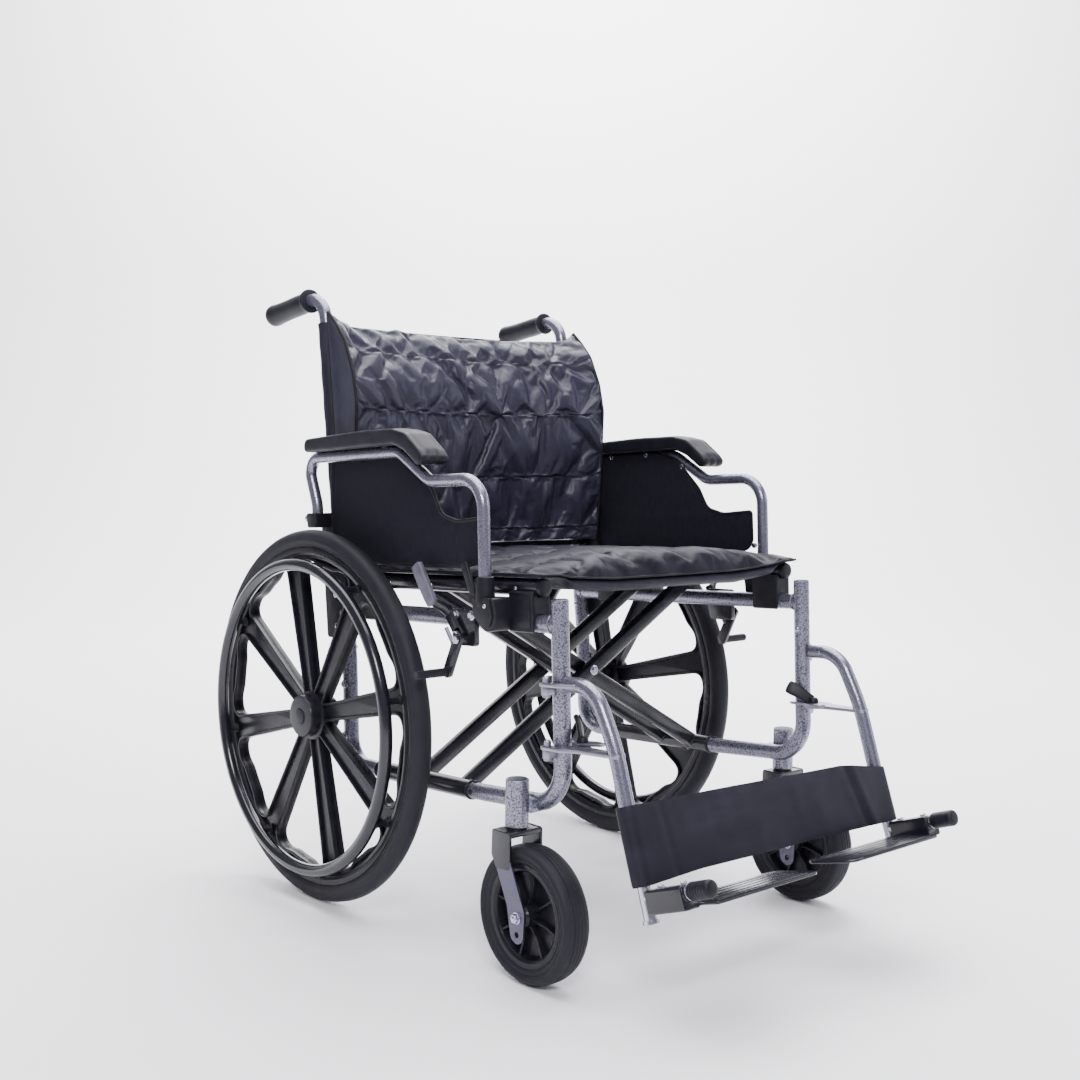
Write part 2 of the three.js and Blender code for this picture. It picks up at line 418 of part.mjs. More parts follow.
const ext = join(
  solid(rod([hx, ...along(-80)], [hx, ...along(FOOT_S + 38)], EXT_R, 10)),
  solid(rod([hx, ...along(FOOT_S + 33)], [hx, ...along(FOOT_S + 38)], 11.5, 10)),
  solid(rod(onAxis(0), onAxis(112), EXT_R - 1, 10)));
pair(frames, 'footrest_tube', ext, chrome);
// footplate: made with its hinge axis along -Y, then tipped with the tube
const tip = (g) => { g.rotateX(TILT - FOOT_TILT); return g.translate(0, corner[0], corner[1]); };
const drop = (g) => tip(g.translate(0, 18, 0).rotateX(THREE.MathUtils.degToRad(6)).translate(0, -18, 0));
const footplate = cut(join(
  solid(tip(box(hx - 15, hx + 15, -80, -13, -15, 12))),
  solid(drop(plateZ([[hx + 8, -78], [hx + 20, -80], [hx + 25, -104], [-46, -104], [-36, -94], [-34, -28], [-46, -18], [hx + 8, -18]], -15, -9))),
  solid(drop(box(hx + 25, -64, -104, -97, -15, -4)))),
solid(tip(rod([hx, -130, 0], [hx, 30, 0], EXT_R - 0.4))));
pair(frames, 'footplate', footplate, black_plastic);
const bumper = cut(solid(tip(rod([hx, -80.4, 0], [hx, -118, 0], 15, 16))), solid(tip(rod([hx, -60, 0], [hx, -114, 0], EXT_R - 0.4))));
pair(frames, 'footrest_bumper', bumper, black_rubber);

// ---------- calf strap between the hangers ----------
const nx = V(0, -hd.z, hd.y); // square to the hanger tube, towards the seat
if (nx.y < 0) nx.negate();
const loop = (r, n = 8) => {
  const pts = [];
  for (let i = 0; i <= n; i++) pts.push([HANGER_X + r * Math.cos(-Math.PI / 2 + Math.PI * i / n), r * Math.sin(-Math.PI / 2 + Math.PI * i / n)]);
  for (let i = 0; i <= n; i++) pts.push([-HANGER_X + r * Math.cos(Math.PI / 2 + Math.PI * i / n), r * Math.sin(Math.PI / 2 + Math.PI * i / n)]);
  return pts;
};
// outline in (x, square to the tube), run along the tube
const alongTube = (pts, s0, s1) => slab(pts, s1 - s0).applyMatrix4(new THREE.Matrix4().set(
  1, 0, 0, 0,
  0, -nx.y, -hd.y, lo[0] - hd.y * -s1,
  0, -nx.z, -hd.z, lo[1] - hd.z * -s1,
  0, 0, 0, 1));
place(frames, 'calf_strap', cut(solid(alongTube(loop(15.6), -84, 16)), solid(alongTube(loop(12.6), -90, 30))), nylon);

// the origin goes under the middle of the whole object, on the ground
model.updateMatrixWorld(true);
const bounds = new THREE.Box3();
model.traverse((o) => { if (o.isMesh) bounds.expandByObject(o, true); });
const chair = new THREE.Group();
model.position.set(0, -(bounds.min.y + bounds.max.y) / 2, -bounds.min.z);
chair.add(model);
export default chair;
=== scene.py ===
import bpy, bmesh, math
import numpy as np
from mathutils import Matrix, Vector, noise


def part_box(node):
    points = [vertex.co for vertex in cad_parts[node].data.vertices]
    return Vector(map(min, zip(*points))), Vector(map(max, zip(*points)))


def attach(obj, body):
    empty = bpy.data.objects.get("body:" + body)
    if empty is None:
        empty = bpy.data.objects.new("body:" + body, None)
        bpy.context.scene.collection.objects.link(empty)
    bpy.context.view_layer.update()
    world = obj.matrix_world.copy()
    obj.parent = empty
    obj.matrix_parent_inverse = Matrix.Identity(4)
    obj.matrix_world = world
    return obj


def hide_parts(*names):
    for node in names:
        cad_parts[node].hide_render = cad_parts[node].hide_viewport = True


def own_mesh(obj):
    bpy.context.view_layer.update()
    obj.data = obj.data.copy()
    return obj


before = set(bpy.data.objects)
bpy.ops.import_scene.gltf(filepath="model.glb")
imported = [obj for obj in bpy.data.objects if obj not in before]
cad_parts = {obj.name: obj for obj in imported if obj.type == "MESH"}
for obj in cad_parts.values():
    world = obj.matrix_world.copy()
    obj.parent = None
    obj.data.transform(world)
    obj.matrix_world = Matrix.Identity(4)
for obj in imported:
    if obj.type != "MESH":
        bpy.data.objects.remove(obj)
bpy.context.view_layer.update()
scene = bpy.context.scene

# ------------------------------------------------------------------ camera, floor, lights
YS = (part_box("rear_tyre_right")[0].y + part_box("rear_tyre_right")[1].y) / 2 * 1000 - 200.0   # mm from drawing y to row y
cam_data = bpy.data.cameras.new("camera")
cam_data.sensor_width = 36.0
cam_data.lens = 46.18
cam_data.clip_start, cam_data.clip_end = 0.05, 60.0
cam = bpy.data.objects.new("camera", cam_data)
scene.collection.objects.link(cam)
ca, ce, cr = (math.radians(v) for v in (-41.4068, 3.8501, 1.0549))
back = Vector((math.sin(ca) * math.cos(ce), -math.cos(ca) * math.cos(ce), math.sin(ce)))
right0 = Vector((math.cos(ca), math.sin(ca), 0.0))
up0 = back.cross(right0)
right = right0 * math.cos(cr) + up0 * math.sin(cr)
up = right0 * -math.sin(cr) + up0 * math.cos(cr)
cam.matrix_world = Matrix(((right.x, up.x, back.x, -1.5576), (right.y, up.y, back.y, -1.7363 + YS / 1000),
                           (right.z, up.z, back.z, 0.7522), (0, 0, 0, 1)))
scene.camera = cam

world = bpy.data.worlds.new("studio")
scene.world = world
world.use_nodes = True
world.node_tree.nodes["Background"].inputs["Color"].default_value = (0.90, 0.90, 1.0, 1.0)
world.node_tree.nodes["Background"].inputs["Strength"].default_value = 0.4


def area(name, at, aim, size, power, color=(1, 1, 1)):
    light = bpy.data.lights.new(name, "AREA")
    light.shape = "RECTANGLE"
    light.size, light.size_y = size
    light.energy = power
    light.color = color
    ob = bpy.data.objects.new(name, light)
    scene.collection.objects.link(ob)
    ob.location = at
    ob.rotation_mode = "QUATERNION"
    ob.rotation_quaternion = (Vector(aim) - Vector(at)).to_track_quat("-Z", "Y")
    return ob


area("key", (-2.9, -3.3, 3.4), (0, 0, 0.5), (1.6, 1.1), 190, (1.0, 0.97, 1.0))
area("fill", (3.4, -2.6, 1.9), (0, 0, 0.5), (2.0, 2.0), 45, (0.92, 0.94, 1.0))
area("top", (0.4, 0.4, 4.6), (0.4, 0.4, 0.0), (5.0, 5.0), 560, (0.96, 0.96, 1.0))
area("wash", (1.7, 2.0, 3.9), (3.1, 3.6, 1.2), (4.2, 1.6), 420, (0.97, 0.97, 1.0))

# ------------------------------------------------------------------ coordinates
TILT = math.radians(3.3)
CT, ST = math.cos(TILT), math.sin(TILT)


def lean_to_row(p):
    p = np.asarray(p, float)
    y, z = p[:, 1] - 200, p[:, 2] - 305
    return np.c_[p[:, 0], 200 + y * CT + z * ST + YS, 305 - y * ST + z * CT] / 1000


def level_to_row(p):
    p = np.asarray(p, float)
    return np.c_[p[:, 0], p[:, 1] + YS, p[:, 2]] / 1000


def to_lean(y, z):
    return (200 + (y - 200) * CT - (z - 305) * ST, 305 + (y - 200) * ST + (z - 305) * CT)


SPACE = {"lean": lean_to_row, "level": level_to_row}


# ------------------------------------------------------------------ mesh building
class Shape:
    def __init__(self, *others):
        self.v, self.f = [], []
        for o in others:
            self.join(o)

    def join(self, other):
        n = len(self.v)
        self.v += [tuple(p) for p in other.v]
        self.f += [tuple(i + n for i in f) for f in other.f]
        return self

    def moved(self, fn):
        s = Shape()
        s.v = [tuple(p) for p in fn(np.array(self.v, float))]
        s.f = list(self.f)
        return s


def bent(corners, step=0.13):
    out = []
    for i, c in enumerate(corners):
        p = Vector(c[:3])
        r = c[3] if len(c) > 3 else 0
        if i in (0, len(corners) - 1) or not r:
            out.append(p)
            continue
        a = (Vector(corners[i - 1][:3]) - p).normalized()
        b = (Vector(corners[i + 1][:3]) - p).normalized()
        angle = math.pi - a.angle(b)
        t = r * math.tan(angle / 2)
        p0 = p + a * t
        centre = p + (a + b).normalized() * (r / math.cos(angle / 2))
        u = p0 - centre
        axis = -(a.cross(b)).normalized()
        n = max(3, math.ceil(angle / step))
        for k in range(n + 1):
            out.append(centre + Matrix.Rotation(angle * k / n, 3, axis) @ u)
    clean = [out[0]]
    for p in out[1:]:
        if (p - clean[-1]).length > 1e-4:
            clean.append(p)
    return clean


def refine(points, gap):
    """The same line with no step longer than gap."""
    out = [points[0]]
    for a, b in zip(points, points[1:]):
        n = max(1, math.ceil((b - a).length / gap))
        out += [a.lerp(b, k / n) for k in range(1, n + 1)]
    return out


def frames_along(points, hint=None):
    tangents = []
    n = len(points)
    for i in range(n):
        t = Vector((0, 0, 0))
        if i > 0:
            t += (points[i] - points[i - 1]).normalized()
        if i < n - 1:
            t += (points[i + 1] - points[i]).normalized()
        tangents.append(t.normalized())
    u = Vector(hint) if hint else Vector((1, 0, 0))
    if abs(u.normalized().dot(tangents[0])) > 0.95:
        u = Vector((0, 1, 0)) if abs(tangents[0].y) < 0.9 else Vector((0, 0, 1))
    out = []
    for t in tangents:
        u = (u - t * u.dot(t)).normalized()
        out.append((u.copy(), t.cross(u).normalized(), t))
    return out


def sweep(points, section, hint=None, scale=None, caps=True, dome=0.0):
    """section is a closed outline of (a, b) carried along the points; dome rounds both ends."""
    points = [Vector(p) for p in points]
    fr = frames_along(points, hint)
    rings = []
    sc = scale or [1.0] * len(points)
    if dome:
        for k in (3, 2, 1):
            w = math.radians(22.5 * k)
            rings.append((points[0] - fr[0][2] * dome * math.sin(w), fr[0], sc[0] * math.cos(w) ** 0.8))
    rings += [(p, f, s) for p, f, s in zip(points, fr, sc)]
    if dome:
        for k in (1, 2, 3):
            w = math.radians(22.5 * k)
            rings.append((points[-1] + fr[-1][2] * dome * math.sin(w), fr[-1], sc[-1] * math.cos(w) ** 0.8))
    m = len(section)
    s = Shape()
    for p, (u, v, _), k in rings:
        for a, b in section:
            s.v.append(tuple(p + u * (a * k) + v * (b * k)))
    for i in range(len(rings) - 1):
        for j in range(m):
            a, b = i * m + j, i * m + (j + 1) % m
            s.f.append((a, b, b + m, a + m))
    if caps:
        s.f.append(tuple(reversed(range(m))))
        s.f.append(tuple(range((len(rings) - 1) * m, len(rings) * m)))
    return s


def circle(r, n=24, phase=0.0):
    return [(r * math.cos(phase + 2 * math.pi * i / n), r * math.sin(phase + 2 * math.pi * i / n)) for i in range(n)]


def rounded_rect(w, h, r, k=4):
    out = []
    for cx, cy, a0 in ((w / 2 - r, h / 2 - r, 0), (-w / 2 + r, h / 2 - r, 90), (-w / 2 + r, -h / 2 + r, 180), (w / 2 - r, -h / 2 + r, 270)):
        for i in range(k + 1):
            a = math.radians(a0 + 90 * i / k)
            out.append((cx + r * math.cos(a), cy + r * math.sin(a)))
    return out


def tube(corners, r, n=24, dome=0.0, step=0.13, scale=None, gap=None):
    pts = bent(corners, step)
    if gap:
        pts = refine(pts, gap)
    return sweep(pts, circle(r, n), dome=dome, scale=scale)


def rod(p0, p1, r, n=24, r1=None, chamfer=0.0):
    p0, p1 = Vector(p0), Vector(p1)
    d = (p1 - p0)
    length = d.length
    d.normalize()
    r1 = r if r1 is None else r1
    if chamfer:
        prof = [(0, r - chamfer), (chamfer, r), (length - chamfer, r1), (length, r1 - chamfer)]
    else:
        prof = [(0, r), (length, r1)]
    return sweep([p0 + d * a for a, _ in prof], circle(1.0, n), scale=[b for _, b in prof])


def stack(p0, d, prof, n=32):
    """rings of (distance along d, radius) from p0"""
    p0, d = Vector(p0), Vector(d).normalized()
    pts, sc, last = [], [], None
    for a, b in prof:
        if last is not None and abs(a - last) < 1e-3:
            a = last + 2e-3
        pts.append(p0 + d * a)
        sc.append(max(b, 0.02))
        last = a
    return sweep(pts, circle(1.0, n), scale=sc, hint=None)


def hexa(p0, d, r, h, chamfer=0.8):
    return stack(p0, d, [(0, r), (h - chamfer, r), (h, r - chamfer)], 6)


def bolt_head(p0, d, r=6, h=4.2, washer=8.5):
    p0, d = Vector(p0), Vector(d).normalized()
    return Shape(stack(p0, d, [(0, washer), (1.0, washer), (1.2, washer - 0.4)], 24), hexa(p0 + d * 1.2, d, r, h))


def dome_head(p0, d, r=5, h=2.6, n=20):
    return stack(p0, d, [(0, r), (h * 0.35, r * 0.97), (h * 0.7, r * 0.78), (h * 0.93, r * 0.45), (h, r * 0.12)], n)


def turned(profile, n=96, closed=True, phase=0.0):
    """profile of (radius, x) turned about X"""
    s = Shape()
    m = len(profile)
    for k in range(n):
        a = phase + 2 * math.pi * k / n
        for r, x in profile:
            s.v.append((x, r * math.cos(a), r * math.sin(a)))
    segs = m if closed else m - 1
    for k in range(n):
        for j in range(segs):
            a, b = k * m + j, k * m + (j + 1) % m
            c, d = ((k + 1) % n) * m + (j + 1) % m, ((k + 1) % n) * m + j
            s.f.append((a, b, c, d))
    if not closed:
        s.f.append(tuple(k * m for k in range(n)))
        s.f.append(tuple(reversed([k * m + m - 1 for k in range(n)])))
    return s


def smooth_profile(points, radii, k=4):
    """a closed 2D outline with each corner rounded by its radius"""
    out = []
    n = len(points)
    for i in range(n):
        p = Vector(points[i])
        a, b = Vector(points[i - 1]) - p, Vector(points[(i + 1) % n]) - p
        r = radii[i] if hasattr(radii, "__len__") else radii
        la, lb = a.length, b.length
        if la < 1e-6 or lb < 1e-6:
            continue
        a.normalize(), b.normalize()
        cosang = max(-1, min(1, a.dot(b)))
        ang = math.acos(cosang)
        if r <= 0 or ang > math.radians(176) or ang < math.radians(2):
            out.append(tuple(p))
            continue
        t = min(r / math.tan(ang / 2), la * 0.49, lb * 0.49)
        rr = t * math.tan(ang / 2)
        c = p + (a + b).normalized() * (rr / math.sin(ang / 2))
        p0, p1 = p + a * t, p + b * t
        v0, v1 = p0 - c, p1 - c
        s0 = math.atan2(v0.y, v0.x)
        dlt = (math.atan2(v1.y, v1.x) - s0 + math.pi) % (2 * math.pi) - math.pi
        for j in range(k + 1):
            w = s0 + dlt * j / k
            out.append((c.x + rr * math.cos(w), c.y + rr * math.sin(w)))
    return out


def plate(loops, t0, t1, axis="x", bevel=0.6, res=2):
    """a flat plate from an outline and its holes; axis is the way its thickness goes"""
    cu = bpy.data.curves.new("tmp", "CURVE")
    cu.dimensions = "2D"
    cu.fill_mode = "BOTH"
    for loop in loops:
        sp = cu.splines.new("POLY")
        sp.points.add(len(loop) - 1)
        for i, (a, b) in enumerate(loop):
            sp.points[i].co = (a, b, 0, 1)
        sp.use_cyclic_u = True
    cu.extrude = (t1 - t0) / 2 - bevel
    cu.bevel_depth = bevel
    cu.bevel_resolution = res
    cu.offset = -bevel
    ob = bpy.data.objects.new("tmp", cu)
    scene.collection.objects.link(ob)
    dg = bpy.context.evaluated_depsgraph_get()
    me = bpy.data.meshes.new_from_object(ob.evaluated_get(dg))
    bm = bmesh.new()
    bm.from_mesh(me)
    bmesh.ops.remove_doubles(bm, verts=bm.verts, dist=0.02)
    bmesh.ops.recalc_face_normals(bm, faces=bm.faces)
    s = Shape()
    mid = (t0 + t1) / 2
    for v in bm.verts:
        a, b, c = v.co
        s.v.append({"x": (mid + c, a, b), "y": (a, mid - c, b), "z": (a, b, mid + c)}[axis])
    s.f = [tuple(v.index for v in f.verts) for f in bm.faces]
    bm.free()
    bpy.data.objects.remove(ob)
    bpy.data.curves.remove(cu)
    bpy.data.meshes.remove(me)
    return s


def grid(nu, nv, fn, closed_u=False):
    s = Shape()
    for j in range(nv):
        for i in range(nu):
            s.v.append(tuple(fn(i / (nu if closed_u else nu - 1), j / (nv - 1))))
    for j in range(nv - 1):
        for i in range(nu if closed_u else nu - 1):
            a, b = j * nu + i, j * nu + (i + 1) % nu
            s.f.append((a, b, b + nu, a + nu))
    return s


def build(name, shape, body, material, slot, space="lean", mirror=False, replaces=(), sharp=36.0, bevel=0.0, subsurf=0, recalc=True, weld=0.0):
    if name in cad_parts:
        name += "_skin"
    co = SPACE[space](shape.v) if space else np.array(shape.v, float)
    if mirror:
        co = co * np.array([-1.0, 1.0, 1.0])
    me = bpy.data.meshes.new(name)
    me.from_pydata(co.tolist(), [], shape.f)
    bm = bmesh.new()
    bm.from_mesh(me)
    if weld:
        bmesh.ops.remove_doubles(bm, verts=bm.verts, dist=weld)
    if recalc:
        bmesh.ops.recalc_face_normals(bm, faces=bm.faces)
    elif mirror:
        bmesh.ops.reverse_faces(bm, faces=bm.faces)
    bm.to_mesh(me)
    bm.free()
    me.shade_smooth()
    me.set_sharp_from_angle(angle=math.radians(sharp))
    me.materials.append(material)
    ob = bpy.data.objects.new(name, me)
    scene.collection.objects.link(ob)
    if bevel:
        m = ob.modifiers.new("bevel", "BEVEL")
        m.width = bevel / 1000
        m.segments = 2
        m.limit_method = "ANGLE"
        m.angle_limit = math.radians(38)
    if subsurf:
        m = ob.modifiers.new("subsurf", "SUBSURF")
        m.levels = m.render_levels = subsurf
    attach(ob, body)
    if replaces:
        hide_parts(*replaces)
    return ob


def both(name, shape, body, material, slot, replaces=(), **kw):
    """the right-hand piece and its mirror image; body and node names take the side"""
    out = []
    for side in ("right", "left"):
        out.append(build(f"{name}_{side}", shape, f"{body}_{side}", material, slot, mirror=side == "left",
                         replaces=[f"{r}_{side}" for r in replaces], **kw))
    return out


# ------------------------------------------------------------------ materials
def new_material(name, base, rough, metal=0.0, spec=0.5, coat=0.0, coat_rough=0.1, sheen=0.0, sheen_tint=(1, 1, 1, 1), sheen_rough=0.5):
    m = bpy.data.materials.new(name)
    m.use_nodes = True
    nt = m.node_tree
    b = nt.nodes["Principled BSDF"]
    b.inputs["Base Color"].default_value = (*base, 1)
    b.inputs["Roughness"].default_value = rough
    b.inputs["Metallic"].default_value = metal
    b.inputs["Specular IOR Level"].default_value = spec
    b.inputs["Coat Weight"].default_value = coat
    b.inputs["Coat Roughness"].default_value = coat_rough
    b.inputs["Sheen Weight"].default_value = sheen
    b.inputs["Sheen Roughness"].default_value = sheen_rough
    b.inputs["Sheen Tint"].default_value = sheen_tint
    tc = nt.nodes.new("ShaderNodeTexCoord")
    return m, nt, b, tc.outputs["Object"]


def node(nt, kind, **inputs):
    n = nt.nodes.new(kind)
    for k, v in inputs.items():
        n.inputs[k.replace("_", " ")].default_value = v
    return n


def noise_tex(nt, co, scale, detail=3.0, rough=0.5, distort=0.0):
    n = node(nt, "ShaderNodeTexNoise", Scale=scale, Detail=detail, Roughness=rough, Distortion=distort)
    nt.links.new(co, n.inputs["Vector"])
    return n.outputs["Fac"]


def stretched(nt, co, scale):
    n = nt.nodes.new("ShaderNodeMapping")
    n.inputs["Scale"].default_value = scale
    nt.links.new(co, n.inputs["Vector"])
    return n.outputs["Vector"]


def ramp(nt, fac, stops):
    r = nt.nodes.new("ShaderNodeValToRGB")
    el = r.color_ramp.elements
    while len(el) < len(stops):
        el.new(0.5)
    for e, (pos, col) in zip(el, stops):
        e.position = pos
        e.color = (*col, 1) if hasattr(col, "__len__") else (col, col, col, 1)
    nt.links.new(fac, r.inputs["Fac"])
    return r.outputs["Color"]


def maths(nt, op, a, b=None, c=None):
    n = nt.nodes.new("ShaderNodeMath")
    n.operation = op
    for i, v in enumerate((a, b, c)):
        if v is None:
            continue
        if isinstance(v, (int, float)):
            n.inputs[i].default_value = v
        else:
            nt.links.new(v, n.inputs[i])
    return n.outputs[0]


def bump(nt, bsdf, height, distance, strength=1.0, previous=None):
    n = nt.nodes.new("ShaderNodeBump")
    n.inputs["Strength"].default_value = strength
    n.inputs["Distance"].default_value = distance
    nt.links.new(height, n.inputs["Height"])
    if previous is not None:
        nt.links.new(previous, n.inputs["Normal"])
    nt.links.new(n.outputs["Normal"], bsdf.inputs["Normal"])
    return n.outputs["Normal"]


def waves(nt, co, axis, pitch):
    """0..1 sine ridges along an axis, pitch in metres"""
    sep = nt.nodes.new("ShaderNodeSeparateXYZ")
    nt.links.new(co, sep.inputs[0])
    s = maths(nt, "SINE", maths(nt, "MULTIPLY", sep.outputs[axis], 2 * math.pi / pitch))
    return maths(nt, "MULTIPLY_ADD", s, 0.5, 0.5)


def hammertone_material(name, scale, gain, low, rough):
    m, nt, b, co = new_material(name, (0.3, 0.3, 0.33), 0.34, metal=0.8, spec=0.5, coat=0.3, coat_rough=0.12)
    v = node(nt, "ShaderNodeTexVoronoi", Scale=scale, Randomness=1.0)
    v.feature = "SMOOTH_F1"
    v.inputs["Smoothness"].default_value = 0.35
    warp = noise_tex(nt, co, 90.0, 2.0)
    mixv = nt.nodes.new("ShaderNodeVectorMath")
    mixv.operation = "MULTIPLY_ADD"
    nt.links.new(warp, mixv.inputs[0])
    mixv.inputs[1].default_value = (0.004, 0.004, 0.004)
    nt.links.new(co, mixv.inputs[2])
    nt.links.new(mixv.outputs[0], v.inputs["Vector"])
    cells = v.outputs["Distance"]
    tone = lambda t: (0.42 * t * gain, 0.41 * t * gain, 0.53 * t * gain)
    col = ramp(nt, cells, [(0.0, tone(1.15)), (0.42, tone(0.85)), (0.62, tone(0.5 + low)), (0.8, tone(0.28 + low))])
    dirt = ramp(nt, noise_tex(nt, co, 9.0, 4.0), [(0.3, (0.86, 0.86, 0.87)), (0.7, (1.05, 1.05, 1.06))])
    mix = nt.nodes.new("ShaderNodeMix")
    mix.data_type = "RGBA"
    mix.blend_type = "MULTIPLY"
    mix.inputs["Factor"].default_value = 1.0
    nt.links.new(col, mix.inputs["A"])
    nt.links.new(dirt, mix.inputs["B"])
    nt.links.new(mix.outputs["Result"], b.inputs["Base Color"])
    nt.links.new(maths(nt, "MULTIPLY_ADD", cells, 0.25, rough), b.inputs["Roughness"])
    bump(nt, b, maths(nt, "SUBTRACT", 1.0, cells), 0.00022, 0.5)
    return m


def gloss_material(name, base, rough, peel=0.00006, coat=0.3):
    m, nt, b, co = new_material(name, base, rough, spec=0.5, coat=coat, coat_rough=0.08)
    n = noise_tex(nt, co, 60.0, 4.0)
    nt.links.new(ramp(nt, n, [(0.3, tuple(c * 0.75 for c in base)), (0.7, tuple(c * 1.35 for c in base))]), b.inputs["Base Color"])
    nt.links.new(maths(nt, "MULTIPLY_ADD", noise_tex(nt, co, 14.0, 5.0), 0.16, rough - 0.07), b.inputs["Roughness"])
    bump(nt, b, noise_tex(nt, co, 420.0, 2.0), peel, 0.6)
    return m


def plastic_material(name, base, rough, grain=900.0, depth=0.00007, spec=0.45):
    m, nt, b, co = new_material(name, base, rough, spec=spec)
    n = noise_tex(nt, co, 45.0, 5.0)
    nt.links.new(ramp(nt, n, [(0.3, tuple(c * 0.7 for c in base)), (0.72, tuple(c * 1.4 for c in base))]), b.inputs["Base Color"])
    nt.links.new(maths(nt, "MULTIPLY_ADD", noise_tex(nt, co, 20.0, 4.0), 0.2, rough - 0.1), b.inputs["Roughness"])
    v = node(nt, "ShaderNodeTexVoronoi", Scale=grain)
    nt.links.new(co, v.inputs["Vector"])
    bump(nt, b, v.outputs["Distance"], depth, 0.5)
    return m


def tyre_material():
    base = (0.0125, 0.0120, 0.0180)
    m, nt, b, co = new_material("tyre_rubber", base, 0.5, spec=0.2)
    n = noise_tex(nt, co, 26.0, 6.0, 0.6)
    nt.links.new(ramp(nt, n, [(0.28, (0.0095, 0.0090, 0.0135)), (0.6, (0.0130, 0.0124, 0.0185)), (0.85, (0.021, 0.0205, 0.028))]), b.inputs["Base Color"])
    nt.links.new(maths(nt, "MULTIPLY_ADD", n, 0.3, 0.42), b.inputs["Roughness"])
    bump(nt, b, noise_tex(nt, co, 800.0, 3.0), 0.0001, 0.5)
    return m


def weave_material(name, base, rough, axes, pitch, depth, sheen=0.25, streak=None, spec=0.4):
    m, nt, b, co = new_material(name, base, rough, spec=spec, sheen=sheen, sheen_rough=0.35, sheen_tint=(0.75, 0.75, 0.95, 1))
    a = waves(nt, co, axes[0], pitch)
    c = waves(nt, co, axes[1], pitch)
    cloth = maths(nt, "MAXIMUM", maths(nt, "MULTIPLY", a, maths(nt, "SUBTRACT", 1.15, c)), maths(nt, "MULTIPLY", c, maths(nt, "SUBTRACT", 1.15, a)))
    tone = noise_tex(nt, stretched(nt, co, streak), 1.0, 5.0, 0.6) if streak else noise_tex(nt, co, 30.0, 5.0)
    both_ = maths(nt, "MULTIPLY_ADD", cloth, 0.35, maths(nt, "MULTIPLY", tone, 0.65))
    nt.links.new(ramp(nt, both_, [(0.2, tuple(v * 0.4 for v in base)), (0.5, base), (0.8, tuple(v * 2.6 for v in base))]), b.inputs["Base Color"])
    nt.links.new(maths(nt, "MULTIPLY_ADD", tone, 0.25, rough - 0.12), b.inputs["Roughness"])
    bump(nt, b, cloth, depth, 0.7)
    return m


def quilt_material(name, spec, rough, gain):
    base = (0.0158 * gain, 0.0150 * gain, 0.0275 * gain)
    m, nt, b, co = new_material(name, base, 0.36, spec=spec)
    a = waves(nt, co, 0, 0.0011)
    sep = nt.nodes.new("ShaderNodeSeparateXYZ")
    nt.links.new(co, sep.inputs[0])
    across = maths(nt, "ADD", sep.outputs[1], sep.outputs[2])
    c = maths(nt, "MULTIPLY_ADD", maths(nt, "SINE", maths(nt, "MULTIPLY", across, 2 * math.pi / 0.0011)), 0.5, 0.5)
    cloth = maths(nt, "MULTIPLY", a, c)
    tone = noise_tex(nt, co, 16.0, 5.0, 0.6)
    nt.links.new(ramp(nt, tone, [(0.25, tuple(c * 0.68 for c in base)), (0.55, base), (0.8, tuple(c * 1.45 for c in base))]), b.inputs["Base Color"])
    nt.links.new(maths(nt, "MULTIPLY_ADD", tone, 0.2, rough), b.inputs["Roughness"])
    crease = noise_tex(nt, co, 55.0, 3.0, 0.6, 0.8)
    first = bump(nt, b, crease, 0.0012, 0.35)
    bump(nt, b, cloth, 0.00008, 0.6, first)
    return m


def metal_material(name, base, rough, brushed=None):
    m, nt, b, co = new_material(name, base, rough, metal=1.0)
    n = noise_tex(nt, stretched(nt, co, brushed) if brushed else co, 1.0 if brushed else 40.0, 4.0)
    nt.links.new(ramp(nt, n, [(0.3, tuple(v * 0.82 for v in base)), (0.7, base)]), b.inputs["Base Color"])
    nt.links.new(maths(nt, "MULTIPLY_ADD", n, 0.2, rough - 0.06), b.inputs["Roughness"])
    bump(nt, b, n, 0.00004, 0.4)
    return m


HAMMER = hammertone_material("hammertone_paint", 440.0, 0.68, 0.0, 0.24)
HAMMER_FINE = hammertone_material("hammertone_paint_fine", 560.0, 0.66, 0.12, 0.15)
GLOSS = gloss_material("black_enamel", (0.0085, 0.0079, 0.0130), 0.22, coat=0.05)
HANDRIM = gloss_material("handrim_enamel", (0.0080, 0.0074, 0.0125), 0.18, coat=0.08)
PLASTIC = plastic_material("moulded_plastic", (0.0080, 0.0076, 0.0120), 0.42, spec=0.22)
WHEEL = plastic_material("wheel_plastic", (0.0080, 0.0076, 0.0120), 0.30, grain=700.0, depth=0.00004, spec=0.22)
FOAM = plastic_material("foam_rubber", (0.0090, 0.0085, 0.0135), 0.45, grain=1300.0, depth=0.00006, spec=0.2)
PADDLE = plastic_material("paddle_plastic", (0.085, 0.083, 0.112), 0.40, grain=900.0, depth=0.00005, spec=0.4)
TYRE = tyre_material()
PANEL = weave_material("panel_cloth", (0.0078, 0.0072, 0.0125), 0.78, (1, 2), 0.0013, 0.00012, sheen=0.0, streak=(20, 420, 45), spec=0.12)
STRAP = weave_material("strap_cloth", (0.0105, 0.0100, 0.0165), 0.5, (0, 2), 0.0014, 0.00008, sheen=0.0, streak=(7, 7, 26), spec=0.14)
SLING = weave_material("sling_cloth", (0.0110, 0.0104, 0.0175), 0.48, (0, 2), 0.0014, 0.00008, sheen=0.0, streak=(30, 30, 9), spec=0.16)
QUILT = quilt_material("quilt_nylon", 0.30, 0.25, 1.4)
# the seat's copy of the quilt nylon is the same fabric as the back's, with its colour painted darker (gain 0.55 against
# 1.4): painted shade on the top-lit seat
QUILT_SEAT_PAINTED_SHADE = quilt_material("quilt_nylon_seat_painted_darker", 0.12, 0.36, 0.55)
PIPING = plastic_material("piping_cord", (0.0070, 0.0068, 0.0100), 0.55, grain=1500.0, depth=0.00005, spec=0.2)
